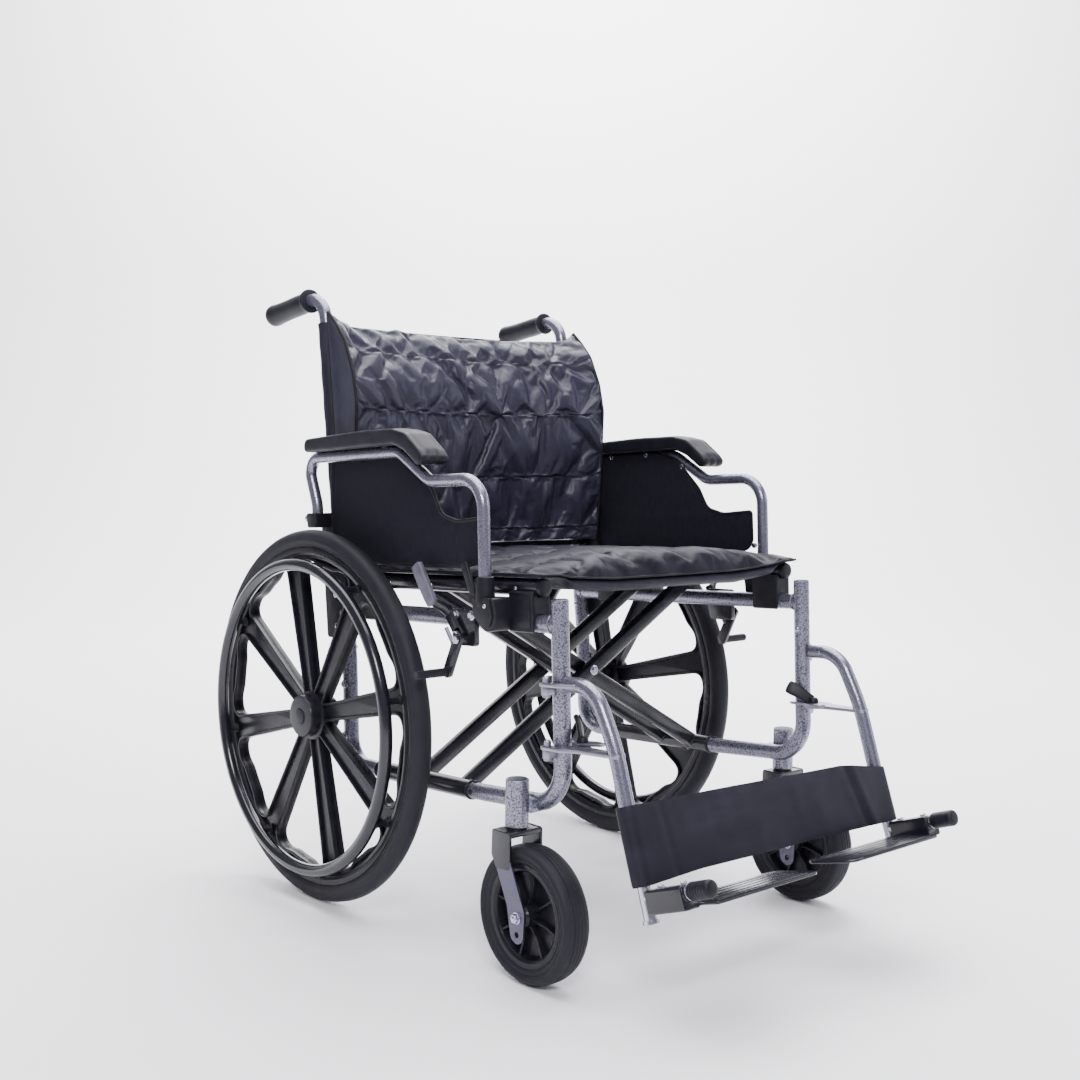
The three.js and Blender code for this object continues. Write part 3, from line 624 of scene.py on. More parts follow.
CHROME = metal_material("chrome_plate", (0.56, 0.56, 0.64), 0.17)
STEEL = metal_material("zinc_plate", (0.32, 0.315, 0.38), 0.32, brushed=(30, 30, 300))
GREY_STEEL = metal_material("fork_steel", (0.135, 0.130, 0.175), 0.40, brushed=(40, 40, 400))

# floor and backdrop
floor_mat, fnt, fb, fco = new_material("floor", (0.93, 0.93, 0.94), 0.6, spec=0.25)
fnt.links.new(ramp(fnt, noise_tex(fnt, fco, 1.2, 3.0), [(0.3, (0.925, 0.925, 0.935)), (0.7, (0.94, 0.94, 0.95))]), fb.inputs["Base Color"])
sweep_pts = []
for k in range(0, 19):
    w = math.radians(90 * k / 18)
    sweep_pts.append((3.0 + 1.6 * math.sin(w), 1.6 - 1.6 * math.cos(w)))
prof = [(-7.0, 0.0), (0.0, 0.0)] + sweep_pts + [(4.6, 5.0)]
bv, bf = [], []
vdir = Vector((-back.x, -back.y, 0)).normalized()
sdir = Vector((vdir.y, -vdir.x, 0))
for i, (d, h) in enumerate(prof):
    for s_ in (-9.0, 9.0):
        p = vdir * d + sdir * s_
        bv.append((p.x, p.y, h - 0.0002))
    if i:
        bf.append((2 * i - 2, 2 * i - 1, 2 * i + 1, 2 * i))
fme = bpy.data.meshes.new("floor")
fme.from_pydata(bv, [], bf)
fme.shade_smooth()
fme.materials.append(floor_mat)
floor = bpy.data.objects.new("floor", fme)
scene.collection.objects.link(floor)

# ------------------------------------------------------------------ side frame
F = -268.0


def cane_y(z):
    return 206 + 0.0833 * (z - 490)


CD = Vector((0, 0.0833, 1)).normalized()


def weld_ring(at, axis, r, w=2.2, seed=0):
    """a slightly uneven weld bead round a tube"""
    at, axis = Vector(at), Vector(axis).normalized()
    u = axis.orthogonal().normalized()
    v = axis.cross(u)
    pts = []
    for k in range(36):
        a = 2 * math.pi * k / 36
        rr = r + 0.35 * math.sin(9 * a + seed) * 0.6
        pts.append(at + u * (rr * math.cos(a)) + v * (rr * math.sin(a)))
    s = Shape()
    m = 8
    for k, p in enumerate(pts):
        rad = (p - at).normalized()
        for j in range(m):
            b = 2 * math.pi * j / m
            ww = w * (1 + 0.12 * math.sin(17 * 2 * math.pi * k / 36 + seed))
            s.v.append(tuple(p + rad * (ww * math.cos(b)) + axis * (ww * math.sin(b))))
    for k in range(36):
        for j in range(m):
            a, b = k * m + j, k * m + (j + 1) % m
            c, d = ((k + 1) % 36) * m + (j + 1) % m, ((k + 1) % 36) * m + j
            s.f.append((a, b, c, d))
    return s


def level_shape(shape):
    """a shape drawn level, in leaned coordinates"""
    def fn(p):
        out = p.copy()
        out[:, 1] = 200 + (p[:, 1] - 200) * CT - (p[:, 2] - 305) * ST
        out[:, 2] = 305 + (p[:, 1] - 200) * ST + (p[:, 2] - 305) * CT
        return out
    return shape.moved(fn)


side = Shape(
    tube([[F, -330.5, 508.6], [F, -330.5, 222, 58], [F, -154.5, 216, 300], [F, -127.5, 216]], 12.7, 32),
    tube([[F, 111.5, 216], [F, 198, 216, 45], [F, 198, 394, 300], [F, cane_y(492), 492]], 12.7, 32),
    rod((F, -330.5, 475), (F, cane_y(475), 475), 12.68, 32),
    stack((F + 17, 200, 305), (-1, 0, 0), [(0, 14.2), (0.8, 15), (38.2, 15), (39, 14.2)], 32),
    level_shape(stack((-297, -268, 214.5), (0, 0, 1), [(0, 16), (1, 17), (67.3, 17), (68.5, 15.8)], 40)),
    level_shape(plate([smooth_profile([(-291, -290), (-266, -290), (-266, -246), (-291, -246)], 3)], 236, 256, "z", 1.5)),
    stack((F, -330.5, 508.2), (0, 0, 1), [(0, 12.7), (1.2, 12.7), (1.8, 12.1)], 32),
    weld_ring((F, -317.0, 475), (0, 1, 0), 12.9, 1.9, 1), weld_ring((F, cane_y(475) - 13.2, 475), (0, 1, 0), 12.9, 1.9, 2),
    weld_ring((F - 12.2, 200, 305), (1, 0, 0), 15.0, 1.7, 3), weld_ring((F + 12.2, 200, 305), (1, 0, 0), 15.0, 1.7, 4),
    weld_ring((F, cane_y(491.5), 491.5), CD, 12.3, 0.7, 4),
)
both("side_frame", side, "frame", HAMMER, "hammertone", ["side_frame"], bevel=0.5)
journal = rod((F, -130, 216), (F, 114, 216), 10, 24)
both("brace_journal", journal, "frame", CHROME, "chrome")

fit = Shape()
for z in (394, 306):
    fit.join(plate([smooth_profile([(-298, -332), (F, -332), (F, -318), (-298, -318)], [6, 1, 1, 6])], z - 15, z - 3, "z", 0.8))
    fit.join(stack((-291, -325, z - 4), (0, 0, 1), [(0, 7.2), (1, 7.2), (1.01, 5), (13, 5), (15, 3.2)], 24))
    fit.join(stack((-291, -325, z - 15.2), (0, 0, -1), [(0, 6.2), (2.4, 6.2), (3.2, 4.6)], 24))
both("hanger_pins", fit, "frame", STEEL, "steel")

caps = Shape(
    stack((F, -330.5, 509.6), (0, 0, 1), [(0, 11.6), (1.2, 11.6), (1.9, 9.5), (2.1, 4)], 32),
    level_shape(stack((-297, -268, 282.6), (0, 0, 1), [(0, 15), (0.8, 14.2), (1.2, 7), (1.25, 2)], 32)),
    level_shape(stack((-297, -268, 210.0), (0, 0, 1), [(0, 13), (0.5, 14), (4.3, 14), (4.4, 12)], 32)),
    rod((F, cane_y(485) - 0.2, 486), (F, cane_y(494.5), 494.5), 12.5, 32),
)
both("tube_caps", caps, "frame", PLASTIC, "black_plastic")

# the brace bearing sleeves' collars on the lower rail
coll = Shape(stack((F, -128.6, 216), (0, 1, 0), [(0, 14.4), (0.6, 15), (3.4, 15), (3.9, 14.4)], 32),
             stack((F, 108.7, 216), (0, 1, 0), [(0, 14.4), (0.4, 15), (3.0, 15), (3.4, 14.4)], 32),
             dome_head((F, -134.5, 228.4), (0, 0.0, 1), 4.5, 2.6), dome_head((F - 12.6, -136, 216), (-1, 0, 0), 4.5, 2.6))
both("rail_collars", coll, "frame", PLASTIC, "black_plastic")

# wheel lock mounting plate and axle plate bolts on the outside of the frame
hardware = Shape(
    bolt_head((F - 12.6, 196, 350), (-1, 0, 0), 5.5, 3.6, 8), bolt_head((F - 12.6, 200, 262), (-1, 0, 0), 5.5, 3.6, 8),
    dome_head((F + 12.6, 204, 452), (1, 0, 0), 4.6, 3), dome_head((F + 12.6, 199, 410), (1, 0, 0), 4.6, 3),
    dome_head((F + 12.6, -330, 430), (1, 0, 0), 4.6, 2.6),
)
both("frame_bolts", hardware, "frame", CHROME, "chrome")

# ------------------------------------------------------------------ canes and grips
p492 = Vector((-269, cane_y(492), 492))
cs = p492 + CD * 0.3
HS = -0.0993


def handle_z(y):
    return 1005.7 + HS * (y - 249)


cane = tube([[-269, cs.y, cs.z], [-269, 249, 1005.7, 42], [-269, 418, handle_z(418)]], 11, 28)
cane.join(rod((-268, cane_y(463), 463.5), (-268, cane_y(500), 500), 8.6, 20))
both("back_cane", cane, "frame", HAMMER_FINE, "hammertone", ["back_cane"])

gd = Vector((0, 1, HS)).normalized()
g0 = Vector((-269, 290, handle_z(290)))
ribs = [(0.0, 18.6), (0.8, 20.2), (3.0, 20.8), (6.0, 20.6), (8.2, 19.2), (9.4, 17.4), (12.0, 16.9), (18, 17.2), (28, 17.6), (40, 17.8), (55, 17.6), (70, 17.4), (84, 17.6),
        (96, 17.9), (106, 18.2), (113, 18.9), (119, 19.2), (124.0, 18.6), (127.6, 16.4), (129.4, 12.0), (129.9, 6.0)]
both("push_grip", stack(g0, gd, ribs, 40), "frame", FOAM, "black_rubber", ["push_grip"], sharp=50)

# ------------------------------------------------------------------ seat rail guides
for name, y0, y1 in (("seat_guide_front", -292, -240), ("seat_guide_rear", 92, 138)):
    outline = [(F - 17, 464), (F - 13.3, 462)]
    outline += [(F - 13.3, 475)] + [(F + 13.3 * math.cos(math.radians(a)), 475 + 13.3 * math.sin(math.radians(a))) for a in range(165, 14, -15)] + [(F + 13.3, 475)]
    outline += [(F + 13.3, 462), (F + 16, 464), (F + 16, 519)]
    outline += [(F + 13.4, 521)] + [(F + 13.7 * math.cos(math.radians(a)), 526 + 13.7 * math.sin(math.radians(a))) for a in range(-20, -161, -14)] + [(F - 13.4, 521), (F - 17, 519)]
    g = plate([outline], y0, y1, "y", 0.9)
    g.join(plate([smooth_profile([(F - 17.0, y0 + 5), (F - 17.0, y1 - 5), (F - 18.6, y1 - 6), (F - 18.6, y0 + 6)], 0.5)], 470, 514, "z", 0.4))
    both(name, g, "frame", PLASTIC, "black_plastic", [name])

# ------------------------------------------------------------------ cross braces
MID = (216 + 526) / 2


def brace_shape(bands):
    s = Shape()
    P, Q = Vector((F, 0, 216)), Vector((-F, 0, 526))
    d = (Q - P).normalized()
    for y0, y1 in bands:
        ym = (y0 + y1) / 2
        pts = [Vector((P.x, ym, P.z)) + d * 4, Vector((Q.x, ym, Q.z)) - d * 4]
        s.join(sweep(pts, rounded_rect(y1 - y0, 25, 5.5, 5), hint=(0, 1, 0)))
        for end, sg in ((P, 1), (Q, -1)):
            s.join(weld_ring((end.x + d.x * sg * 13.6, ym, end.z + d.z * sg * 13.6), d, 10.6, 2.0, ym))
    s.join(stack((F, -124.5, 216), (0, 1, 0), [(0, 13.2), (0.8, 14), (232.2, 14), (233, 13.2)], 32))
    s.join(rod((-F, -296, 526), (-F, 175, 526), 12.7, 32))
    return s


for side_, bands, mir in (("right", [(-113, -95), (-3, 15)], False), ("left", [(-93, -75), (-24, -6)], True)):
    build(f"cross_brace_{side_}", brace_shape(bands), f"brace_{side_}", GLOSS, "black_gloss", mirror=mir,
          replaces=[f"cross_brace_{side_}"], bevel=0.0)
    cap = stack((-F, -295, 526), (0, -1, 0), [(-12, 12.2), (0.0, 12.7), (0.2, 13.2), (3.5, 13.2), (6.4, 12.0), (7.8, 9.0), (8.2, 5.0)], 36)
    cap.join(stack((-F, 174.6, 526), (0, 1, 0), [(-6, 12.2), (0, 12.7), (0.2, 13.0), (2.4, 12.2), (3.0, 8.0)], 32))
    build(f"seat_rail_cap_{side_}", cap, f"brace_{side_}", PLASTIC, "black_plastic", mirror=mir)
    screws = Shape()
    for yy in (-250, -150, -50, 60, 150):
        screws.join(dome_head((-F + 12.4, yy, 524), (1, 0, 0), 3.2, 1.8))
    build(f"seat_rail_screws_{side_}", screws, f"brace_{side_}", CHROME, "chrome", mirror=mir)
for name, y0, y1 in (("brace_bolt_front", -113, -75), ("brace_bolt_rear", -24, 15)):
    b = Shape(rod((0, y0 - 5, MID), (0, y1 + 5, MID), 4.2, 20))
    b.join(stack((0, y0 - 0.2, MID), (0, -1, 0), [(0, 8.2), (1.3, 8.2), (1.6, 7.6)], 28))
    b.join(hexa((0, y0 - 1.6, MID), (0, -1, 0), 5.8, 4.4))
    b.join(stack((0, y1 + 0.2, MID), (0, 1, 0), [(0, 8.2), (1.3, 8.2), (1.6, 7.6)], 28))
    b.join(hexa((0, y1 + 1.6, MID), (0, 1, 0), 5.8, 5.0))
    build(name, b, "brace_right", CHROME, "chrome", replaces=[name], sharp=30)

# ------------------------------------------------------------------ arm: tube, panel, sockets
A = -309.0
arm = tube([[A, 222, 617], [A, 222, 650, 60], [A, 250, 729, 26], [A, -16, 729, 40], [A, -92, 682, 40], [A, -217, 682, 45], [A, -217, 507]], 9.5, 28, step=0.1)
both("arm_frame", arm, "arm", HAMMER_FINE, "hammertone", ["arm_frame"])

panel_line = [(192, 736), (196, 700), (196, 612), (188, 560), (160, 555), (-150, 553), (-196, 560), (-205, 575), (-204, 626), (-139, 622), (-103, 632), (-83, 668), (-29, 722), (20, 736)]
panel_round = smooth_profile(panel_line, [2, 30, 20, 20, 12, 12, 14, 10, 6, 40, 26, 40, 40, 6], 6)
panel = plate([panel_round], -298.6, -295.3, "x", 0.8)
both("arm_panel", panel, "arm", PANEL, "nylon", ["arm_panel"])


def edge_binding(outline, x, r, inset):
    pts = [Vector((x, a, b)) for a, b in outline]
    area_ = sum(p.y * q.z - q.y * p.z for p, q in zip(pts, pts[1:] + pts[:1]))
    n = len(pts)
    s = Shape()
    m = 10
    for i, p in enumerate(pts):
        t = (pts[(i + 1) % n] - pts[i - 1]).normalized()
        nrm_ = Vector((0, t.z, -t.y)) * (1 if area_ > 0 else -1)
        c = p - nrm_ * inset
        for j in range(m):
            w = 2 * math.pi * j / m
            s.v.append(tuple(c + nrm_ * (r * 1.5 * math.cos(w)) + Vector((1, 0, 0)) * (r * math.sin(w))))
    for i in range(n):
        for j in range(m):
            a, b = i * m + j, i * m + (j + 1) % m
            c, d = ((i + 1) % n) * m + (j + 1) % m, ((i + 1) % n) * m + j
            s.f.append((a, b, c, d))
    return s


fine = [tuple(p) for p in [(v.y, v.z) for v in refine([Vector((0, a, b)) for a, b in panel_round + panel_round[:1]], 8)][:-1]]
both("arm_panel_binding", edge_binding(fine, -296.95, 2.25, 1.6), "arm", PIPING, "nylon")
snaps = Shape()
for y, z in ((137.5, 731), (47, 732.5), (-43, 708), (-208, 566), (183, 575)):
    snaps.join(dome_head((-298.5, y, z), (-1, 0, 0), 4.6, 2.0))
    snaps.join(dome_head((-295.4, y, z), (1, 0, 0), 4.6, 1.6))
both("arm_panel_snaps", snaps, "arm", CHROME, "chrome")

front_socket = Shape(
    stack((A, -217, 496), (0, 0, 1), [(0, 11.5), (4, 13.6), (10, 14.2), (30, 13.6), (44.5, 12.6), (45.4, 11.6)], 36),
    plate([smooth_profile([(-196, 512), (-199, 484), (-226, 462), (-244, 466), (-252, 484), (-244, 512)], [5, 12, 14, 8, 14, 5], 6)], -319, F - 13.4, "x", 2.4, 3),
    plate([smooth_profile([(-203, 512), (-205, 486), (-226, 468), (-240, 472), (-245, 486), (-238, 512)], [3, 8, 10, 6, 10, 3], 5)], -321.4, -318, "x", 1.0),
    sweep([Vector((-306, -190, 505)), Vector((-307, -184, 522)), Vector((-308, -176, 542)), Vector((-308, -169, 559))], rounded_rect(7, 15, 3.2, 4), hint=(1, 0, 0), scale=[0.8, 0.85, 0.95, 1.0], dome=2.0),
    plate([smooth_profile([(-198, 500), (-198, 512), (-180, 514), (-178, 504)], 2)], -310, -302, "x", 1.0),
)
both("arm_socket_front", front_socket, "frame", PLASTIC, "black_plastic", ["arm_socket_front"], bevel=0.0)
both("arm_socket_button", Shape(dome_head((-321.2, -229, 500), (-1, 0, 0), 3.4, 2.4)), "frame", CHROME, "chrome")
rear_socket = Shape(
    plate([smooth_profile([(186, 428), (226, 428), (236, 600), (238, 637), (206, 637), (200, 606), (176, 600), (168, 520), (170, 440)], 6)], -293.5, F - 15.4, "x", 1.6),
    plate([smooth_profile([(208, 612.5), (237, 612.5), (240, 637), (212, 637)], 4)], -321, -292, "x", 2.0),
)
both("arm_socket_rear", rear_socket, "frame", PLASTIC, "black_plastic", ["arm_socket_rear"])
rs = Shape()
for y, z in ((196, 448), (198, 500), (203, 548), (222, 590), (180, 470)):
    rs.join(dome_head((-293.4, y, z), (-1, 0, 0), 5.2, 2.6))
both("arm_socket_screws", rs, "frame", CHROME, "chrome")
both("arm_plunger", Shape(stack((A, 240.3, 628), (0, 1, 0), [(0, 5), (6, 5), (6.1, 7.2), (11, 7.2), (12, 6.0)], 24)), "frame", CHROME, "chrome")


def soften(ob, voxel, rounds, passes=1):
    """turns a blocky object's mesh into one rounded skin"""
    for m in list(ob.modifiers):
        ob.modifiers.remove(m)
    m = ob.modifiers.new("remesh", "REMESH")
    m.mode = "VOXEL"
    m.voxel_size = voxel
    m.use_smooth_shade = True
    s = ob.modifiers.new("smooth", "SMOOTH")
    s.factor = 0.5
    s.iterations = rounds
    dg = bpy.context.evaluated_depsgraph_get()
    dg.update()
    me = bpy.data.meshes.new_from_object(ob.evaluated_get(dg))
    mats = list(ob.data.materials)
    ob.modifiers.clear()
    ob.data = me
    me.materials.clear()
    for mm in mats:
        me.materials.append(mm)
    me.shade_smooth()
    return ob


pad_line = [(217, 737), (220, 748), (214, 759.5), (60, 764.5), (-30, 763.5), (-64, 756), (-100, 728), (-110, 716), (-105, 707.5), (-94, 704.5), (-62, 727.5), (-34, 738.6), (-20, 738.2)]
pad = plate([smooth_profile(pad_line, [5, 6, 8, 0, 40, 30, 20, 6, 5, 6, 20, 20, 4], 4)], -337, -284, "x", 3.5, 3)
for ob in both("arm_pad", pad, "arm", FOAM, "black_rubber", ["arm_pad"]):
    k = -1 if ob.name.endswith("right") else 1
    soften(ob, 0.0026, 5)
    co = np.array([v.co for v in ob.data.vertices])
    yl = (co[:, 1] * 1000 - YS - 200)
    zl = (co[:, 2] * 1000 - 305)
    y_ = 200 + yl * CT - zl * ST
    z_ = 305 + yl * ST + zl * CT
    x_ = np.abs(co[:, 0] * 1000)
    no = np.array([v.normal for v in ob.data.vertices])
    edge = np.minimum(x_ - 285, 336 - x_)
    top = np.clip(no[:, 2] * 1.6 - 0.4, 0, 1)
    endd = np.clip((y_ + 104) / 8, 0, 1) * np.clip((212 - y_) / 8, 0, 1)
    groove = -1.3 * np.exp(-((edge - 8.5) / 1.5) ** 2) * top * endd
    crown = 0.9 * np.clip((edge - 9) / 10, 0, 1) * top * endd
    dimple = np.zeros(len(co))
    for xx in (302.0, 319.0):
        dimple -= 1.6 * np.exp(-(((x_ - xx) / 3.4) ** 2 + ((y_ + 107) / 7.0) ** 2))
    co += no * ((groove + crown + dimple) / 1000)[:, None]
    ob.data.vertices.foreach_set("co", co.astype(np.float32).ravel())
    ob.data.update()
pad_bolts = Shape(bolt_head((A, 150, 738.6), (0, 0, -1), 5, 3, 6.5), bolt_head((A, 20, 738.6), (0, 0, -1), 5, 3, 6.5))
both("arm_pad_bolts", pad_bolts, "arm", CHROME, "chrome")

# ------------------------------------------------------------------ wheel lock
bracket = Shape(
    plate([smooth_profile([(-168, 436), (-118, 436), (-112, 462), (-112, 490), (-160, 490), (-168, 470)], 6)], -290, F - 13.4, "x", 1.2),
    stack((-289, -135, 453), (-1, 0, 0), [(0, 6.5), (1, 6.5), (1.1, 4.5), (13.6, 4.5), (14.4, 3.8)], 24),
    stack((-289, -150, 447), (-1, 0, 0), [(0, 6.5), (1, 6.5), (1.1, 4.5), (21.8, 4.5), (22.6, 3.8)], 24))
both("brake_bracket", bracket, "frame", GLOSS, "steel", ["brake_bracket"])
brk = Shape(
    bolt_head((-290, -160, 482), (-1, 0, 0), 5, 3.4, 7.5), bolt_head((-290, -122, 482), (-1, 0, 0), 5, 3.4, 7.5),
    hexa((-299, -135, 453), (-1, 0, 0), 6.2, 4.2), hexa((-311.2, -150, 447), (-1, 0, 0), 6.2, 4.2))
both("brake_bolts", brk, "frame", CHROME, "chrome")
lever = Shape(
    plate([[(-135 + a, 453 + b) for a, b in circle(11, 32)], [(-135 + a, 453 + b) for a, b in circle(5, 24)]], -296.5, -291, "x", 0.8),
    plate([smooth_profile([(-141, 462), (-128, 446), (-104, 478), (-98, 492), (-112, 497)], [5, 5, 5, 4, 4])], -296.5, -291, "x", 0.8),
    sweep([Vector((-294, -112, 484)), Vector((-300, -107, 492)), Vector((-311, -102, 499)), Vector((-317, -98, 506))], rounded_rect(9, 16, 3.6, 4), hint=(1, 0, 0), dome=2.0))
both("brake_lever", lever, "lever", GLOSS, "black_gloss", ["brake_lever"])
handle = sweep([Vector((-317, -100, 499)), Vector((-317.6, -96, 507)), Vector((-318, -84, 526)), Vector((-318, -72, 545)), Vector((-318, -66, 555))],
               rounded_rect(11, 23, 4.4, 5), hint=(1, 0, 0), scale=[0.82, 0.94, 1.0, 1.0, 0.96], dome=3.0)
both("brake_handle", handle, "lever", PADDLE, "black_gloss")
sr = to_lean(-117, 416)
shoe = Shape(
    plate([smooth_profile([(-160, 449), (-154, 457), (-142, 455), (sr[0] + 9, sr[1] + 4), (sr[0] + 6, sr[1] - 8), (sr[0] - 7, sr[1] - 7)], 4),
           [(-150 + a, 447 + b) for a, b in circle(5, 24)]], -309.5, -304, "x", 0.8),
    rod((-305, sr[0], sr[1]), (-311, sr[0], sr[1]), 9, 28, chamfer=0.8))
both("brake_shoe", shoe, "shoe", GLOSS, "steel", ["brake_shoe"])
knurl = stack((-311, sr[0], sr[1]), (-1, 0, 0), [(0, 6)] + [v for k in range(13) for v in ((1.5 + 4 * k, 6.5), (3.2 + 4 * k, 6.5), (3.7 + 4 * k, 6.0), (4.9 + 4 * k, 6.0))] + [(54, 6.4), (55, 5.4)], 28)
both("brake_shoe_bar", knurl, "shoe", PLASTIC, "steel")
link = Shape(rod((-300.4, -112, 462), (-300.4, -136, 428), 3.2, 16))
both("brake_link", link, "shoe", STEEL, "steel")

# ------------------------------------------------------------------ rear wheel, about its own centre
def around(shape, at):
    return shape.moved(lambda p: p + np.array(at))


CW = (-335.4, 200, 305)
tp = [(277, -12.6), (281, -15.4), (285.5, -16.9), (290.5, -17), (292, -16.0), (293.2, -16.2), (297, -15.0), (300.5, -12.2), (303.2, -8.2), (304.6, -4.0), (305, 0),
      (304.6, 4.0), (303.2, 8.2), (300.5, 12.2), (297, 15.0), (293.2, 16.2), (292, 16.0), (290.5, 17), (285.5, 16.9), (281, 15.4), (277, 12.6), (276.2, 0)]
both("rear_tyre", around(turned(tp, 160), CW), "wheel", TYRE, "tyre", ["rear_tyre"], space="level", sharp=45)
rp = smooth_profile([(259.5, -9.5), (264, -10.5), (268, -13.4), (276.6, -13.4), (276.4, 13.4), (268, 13.4), (264, 10.5), (259.5, 9.5)], [1.2, 2, 1.5, 1.0, 1.0, 1.5, 2, 1.2], 3)


def gap_outline(a0, inset=0.0):
    """the open gap between the spokes at a0 and a0 + 45 degrees, round the wheel centre; inset shrinks it"""
    def h(r):
        return 13.7 + 7.8 * (r - 24) / 234 + inset

    def edge(r, s_):
        base = a0 if s_ < 0 else a0 + math.pi / 4
        return base - s_ * math.asin(min(h(r) / r, 0.99))

    r_in = 40.0
    while edge(r_in, -1) > edge(r_in, 1) - 0.02:
        r_in += 0.5
    r_in += 1.0
    pts, radii = [], []
    ro = 257.5 - inset
    pts.append((r_in, edge(r_in, -1))); radii.append(3.0)
    for k in range(1, 5):
        r = r_in + (ro - r_in) * k / 5
        pts.append((r, edge(r, -1))); radii.append(0)
    e0, e1 = edge(ro, -1), edge(ro, 1)
    n = 22
    for k in range(n + 1):
        w = e0 + (e1 - e0) * k / n
        u = abs(w - (e0 + e1) / 2) / math.radians(8.2)
        lobe = 9.5 * (1 / (1 + (u) ** 6))
        pts.append((ro - lobe, w))
        radii.append(20.0 if k in (0, n) else 0)
    for k in range(4, 0, -1):
        r = r_in + (ro - r_in) * k / 5
        pts.append((r, edge(r, 1))); radii.append(0)
    pts.append((r_in, edge(r_in, 1))); radii.append(3.0)
    xy = [(r * math.cos(w), r * math.sin(w)) for r, w in pts]
    # large corner fillets at the two outer corners
    out = []
    i0, i1 = 5, 5 + n
    def fillet(i, before, after):
        p = Vector(xy[i])
        a_, b_ = Vector(xy[before]), Vector(xy[after])
        res = []
        for k in range(9):
            t = k / 8
            res.append(tuple((a_ * (1 - t) ** 2 + p * (2 * t * (1 - t)) + b_ * t ** 2)))
        return res
    # points where the fillets start on the straight sides
    def on_side(r, s_):
        w = edge(r, s_)
        return (r * math.cos(w), r * math.sin(w))
    fa, fb = on_side(ro - 24, -1), on_side(ro - 24, 1)
    first = [xy[0]] + [on_side(r_in + (ro - 24 - r_in) * k / 6, -1) for k in range(1, 6)]
    pa, pb = Vector(xy[i0]), Vector(xy[i1])
    arc = xy[i0 + 4:i1 - 3]
    def quad(a_, p, b_, n_=9):
        a_, p, b_ = Vector(a_), Vector(p), Vector(b_)
        return [tuple(a_ * (1 - k / n_) ** 2 + p * (2 * (k / n_) * (1 - k / n_)) + b_ * (k / n_) ** 2) for k in range(n_ + 1)]
    out = first + quad(fa, pa, arc[0]) + arc[1:-1] + quad(arc[-1], pb, fb) + [on_side(r_in + (ro - 24 - r_in) * k / 6, 1) for k in range(5, 0, -1)] + [xy[-1]]
    return out


def band(outline, w, h, c=1.3):
    """a raised rib of width w and half height h running round an opening"""
    pts = [Vector(p) for p in outline]
    keep_ = [pts[0]]
    for p in pts[1:]:
        if (p - keep_[-1]).length > 0.4:
            keep_.append(p)
    pts = keep_
    n = len(pts)
    area_ = sum(p.x * q.y - q.x * p.y for p, q in zip(pts, pts[1:] + pts[:1]))
    sec = [(0, -h + c), (c, -h), (w - c, -h), (w, -h + c), (w, h - c), (w - c, h), (c, h), (0, h - c)]
    m = len(sec)
    s = Shape()
    for i, p in enumerate(pts):
        t = ((pts[(i + 1) % n] - p).normalized() + (p - pts[i - 1]).normalized()).normalized()
        out = Vector((t.y, -t.x)) * (1 if area_ > 0 else -1)
        for a, b in sec:
            q = p + out * a
            s.v.append((b, q.x, q.y))
    for i in range(n):
        for j in range(m):
            a, b = i * m + j, i * m + (j + 1) % m
            c_, d = ((i + 1) % n) * m + (j + 1) % m, ((i + 1) % n) * m + j
            s.f.append((a, b, c_, d))
    return s


wheel = Shape(turned(rp, 160))
gaps = [gap_outline(math.radians(31) + k * math.pi / 4) for k in range(8)]
wheel.join(plate([circle(262, 160)] + gaps, -4.5, 4.5, "x", 1.0, 2))
for k in range(8):
    wheel.join(band(gaps[k], 5.0, 10.0))
hub_prof = [(0.5, 30.9), (13, 30.9), (14.5, 30.0), (15.5, 28.6), (17.5, 28.6), (19, 30.2), (25.5, 30.2), (27.6, 28.8), (28.2, 26), (28.8, 14), (31.5, 11.5), (40, 10.6),
            (40, -10.6), (34.5, -12.5), (34.5, -27), (32.5, -30), (24, -31), (0.5, -31)]
wheel.join(turned(hub_prof, 64, closed=False))
both("rear_wheel", around(wheel, CW), "wheel", WHEEL, "black_plastic", ["rear_rim", "rear_spokes"], space="level", sharp=40)
hr = [(249 + 10 * math.cos(2 * math.pi * k / 24), 10 * math.sin(2 * math.pi * k / 24)) for k in range(24)]
hand = turned(hr, 160)
stand = Shape()
for k in range(8):
    a = math.radians(31) + k * math.pi / 4
    y, z = 256 * math.cos(a), 256 * math.sin(a)
    stand.join(stack((2, y, z), (1, 0, 0), [(0, 6.2), (3, 5.2), (17, 5.0), (22, 6.4), (24.5, 8.6)], 20))
    stand.join(stack((26.4, y * 1.0, z * 1.0), (-1, 0, 0), [(0, 4), (0, 7), (1, 7.4), (3, 7)], 20))
both("handrim", around(hand, (-370, 200, 305)), "wheel", HANDRIM, "black_gloss", ["handrim"], space="level", sharp=60)
both("handrim_posts", around(stand, (-370, 200, 305)), "wheel", PLASTIC, "black_gloss", space="level", sharp=50)
ax = Shape(
    rod((F + 24, 200, 305), (-335.4 - 20, 200, 305), 6.1, 24),
    hexa((F + 17.3, 200, 305), (1, 0, 0), 11, 7.6), stack((F - 22.3, 200, 305), (-1, 0, 0), [(0, 11), (13.6, 11)], 28))
both("rear_axle", ax, "frame", CHROME, "chrome", ["rear_axle"], space="lean", sharp=30)
both("hub_cap", around(stack((-30.4, 0, 0), (-1, 0, 0), [(0, 13.2), (1.2, 13.6), (2.6, 12.4), (3.4, 8), (3.6, 2)], 40), CW), "wheel", PLASTIC, "black_plastic", space="level")

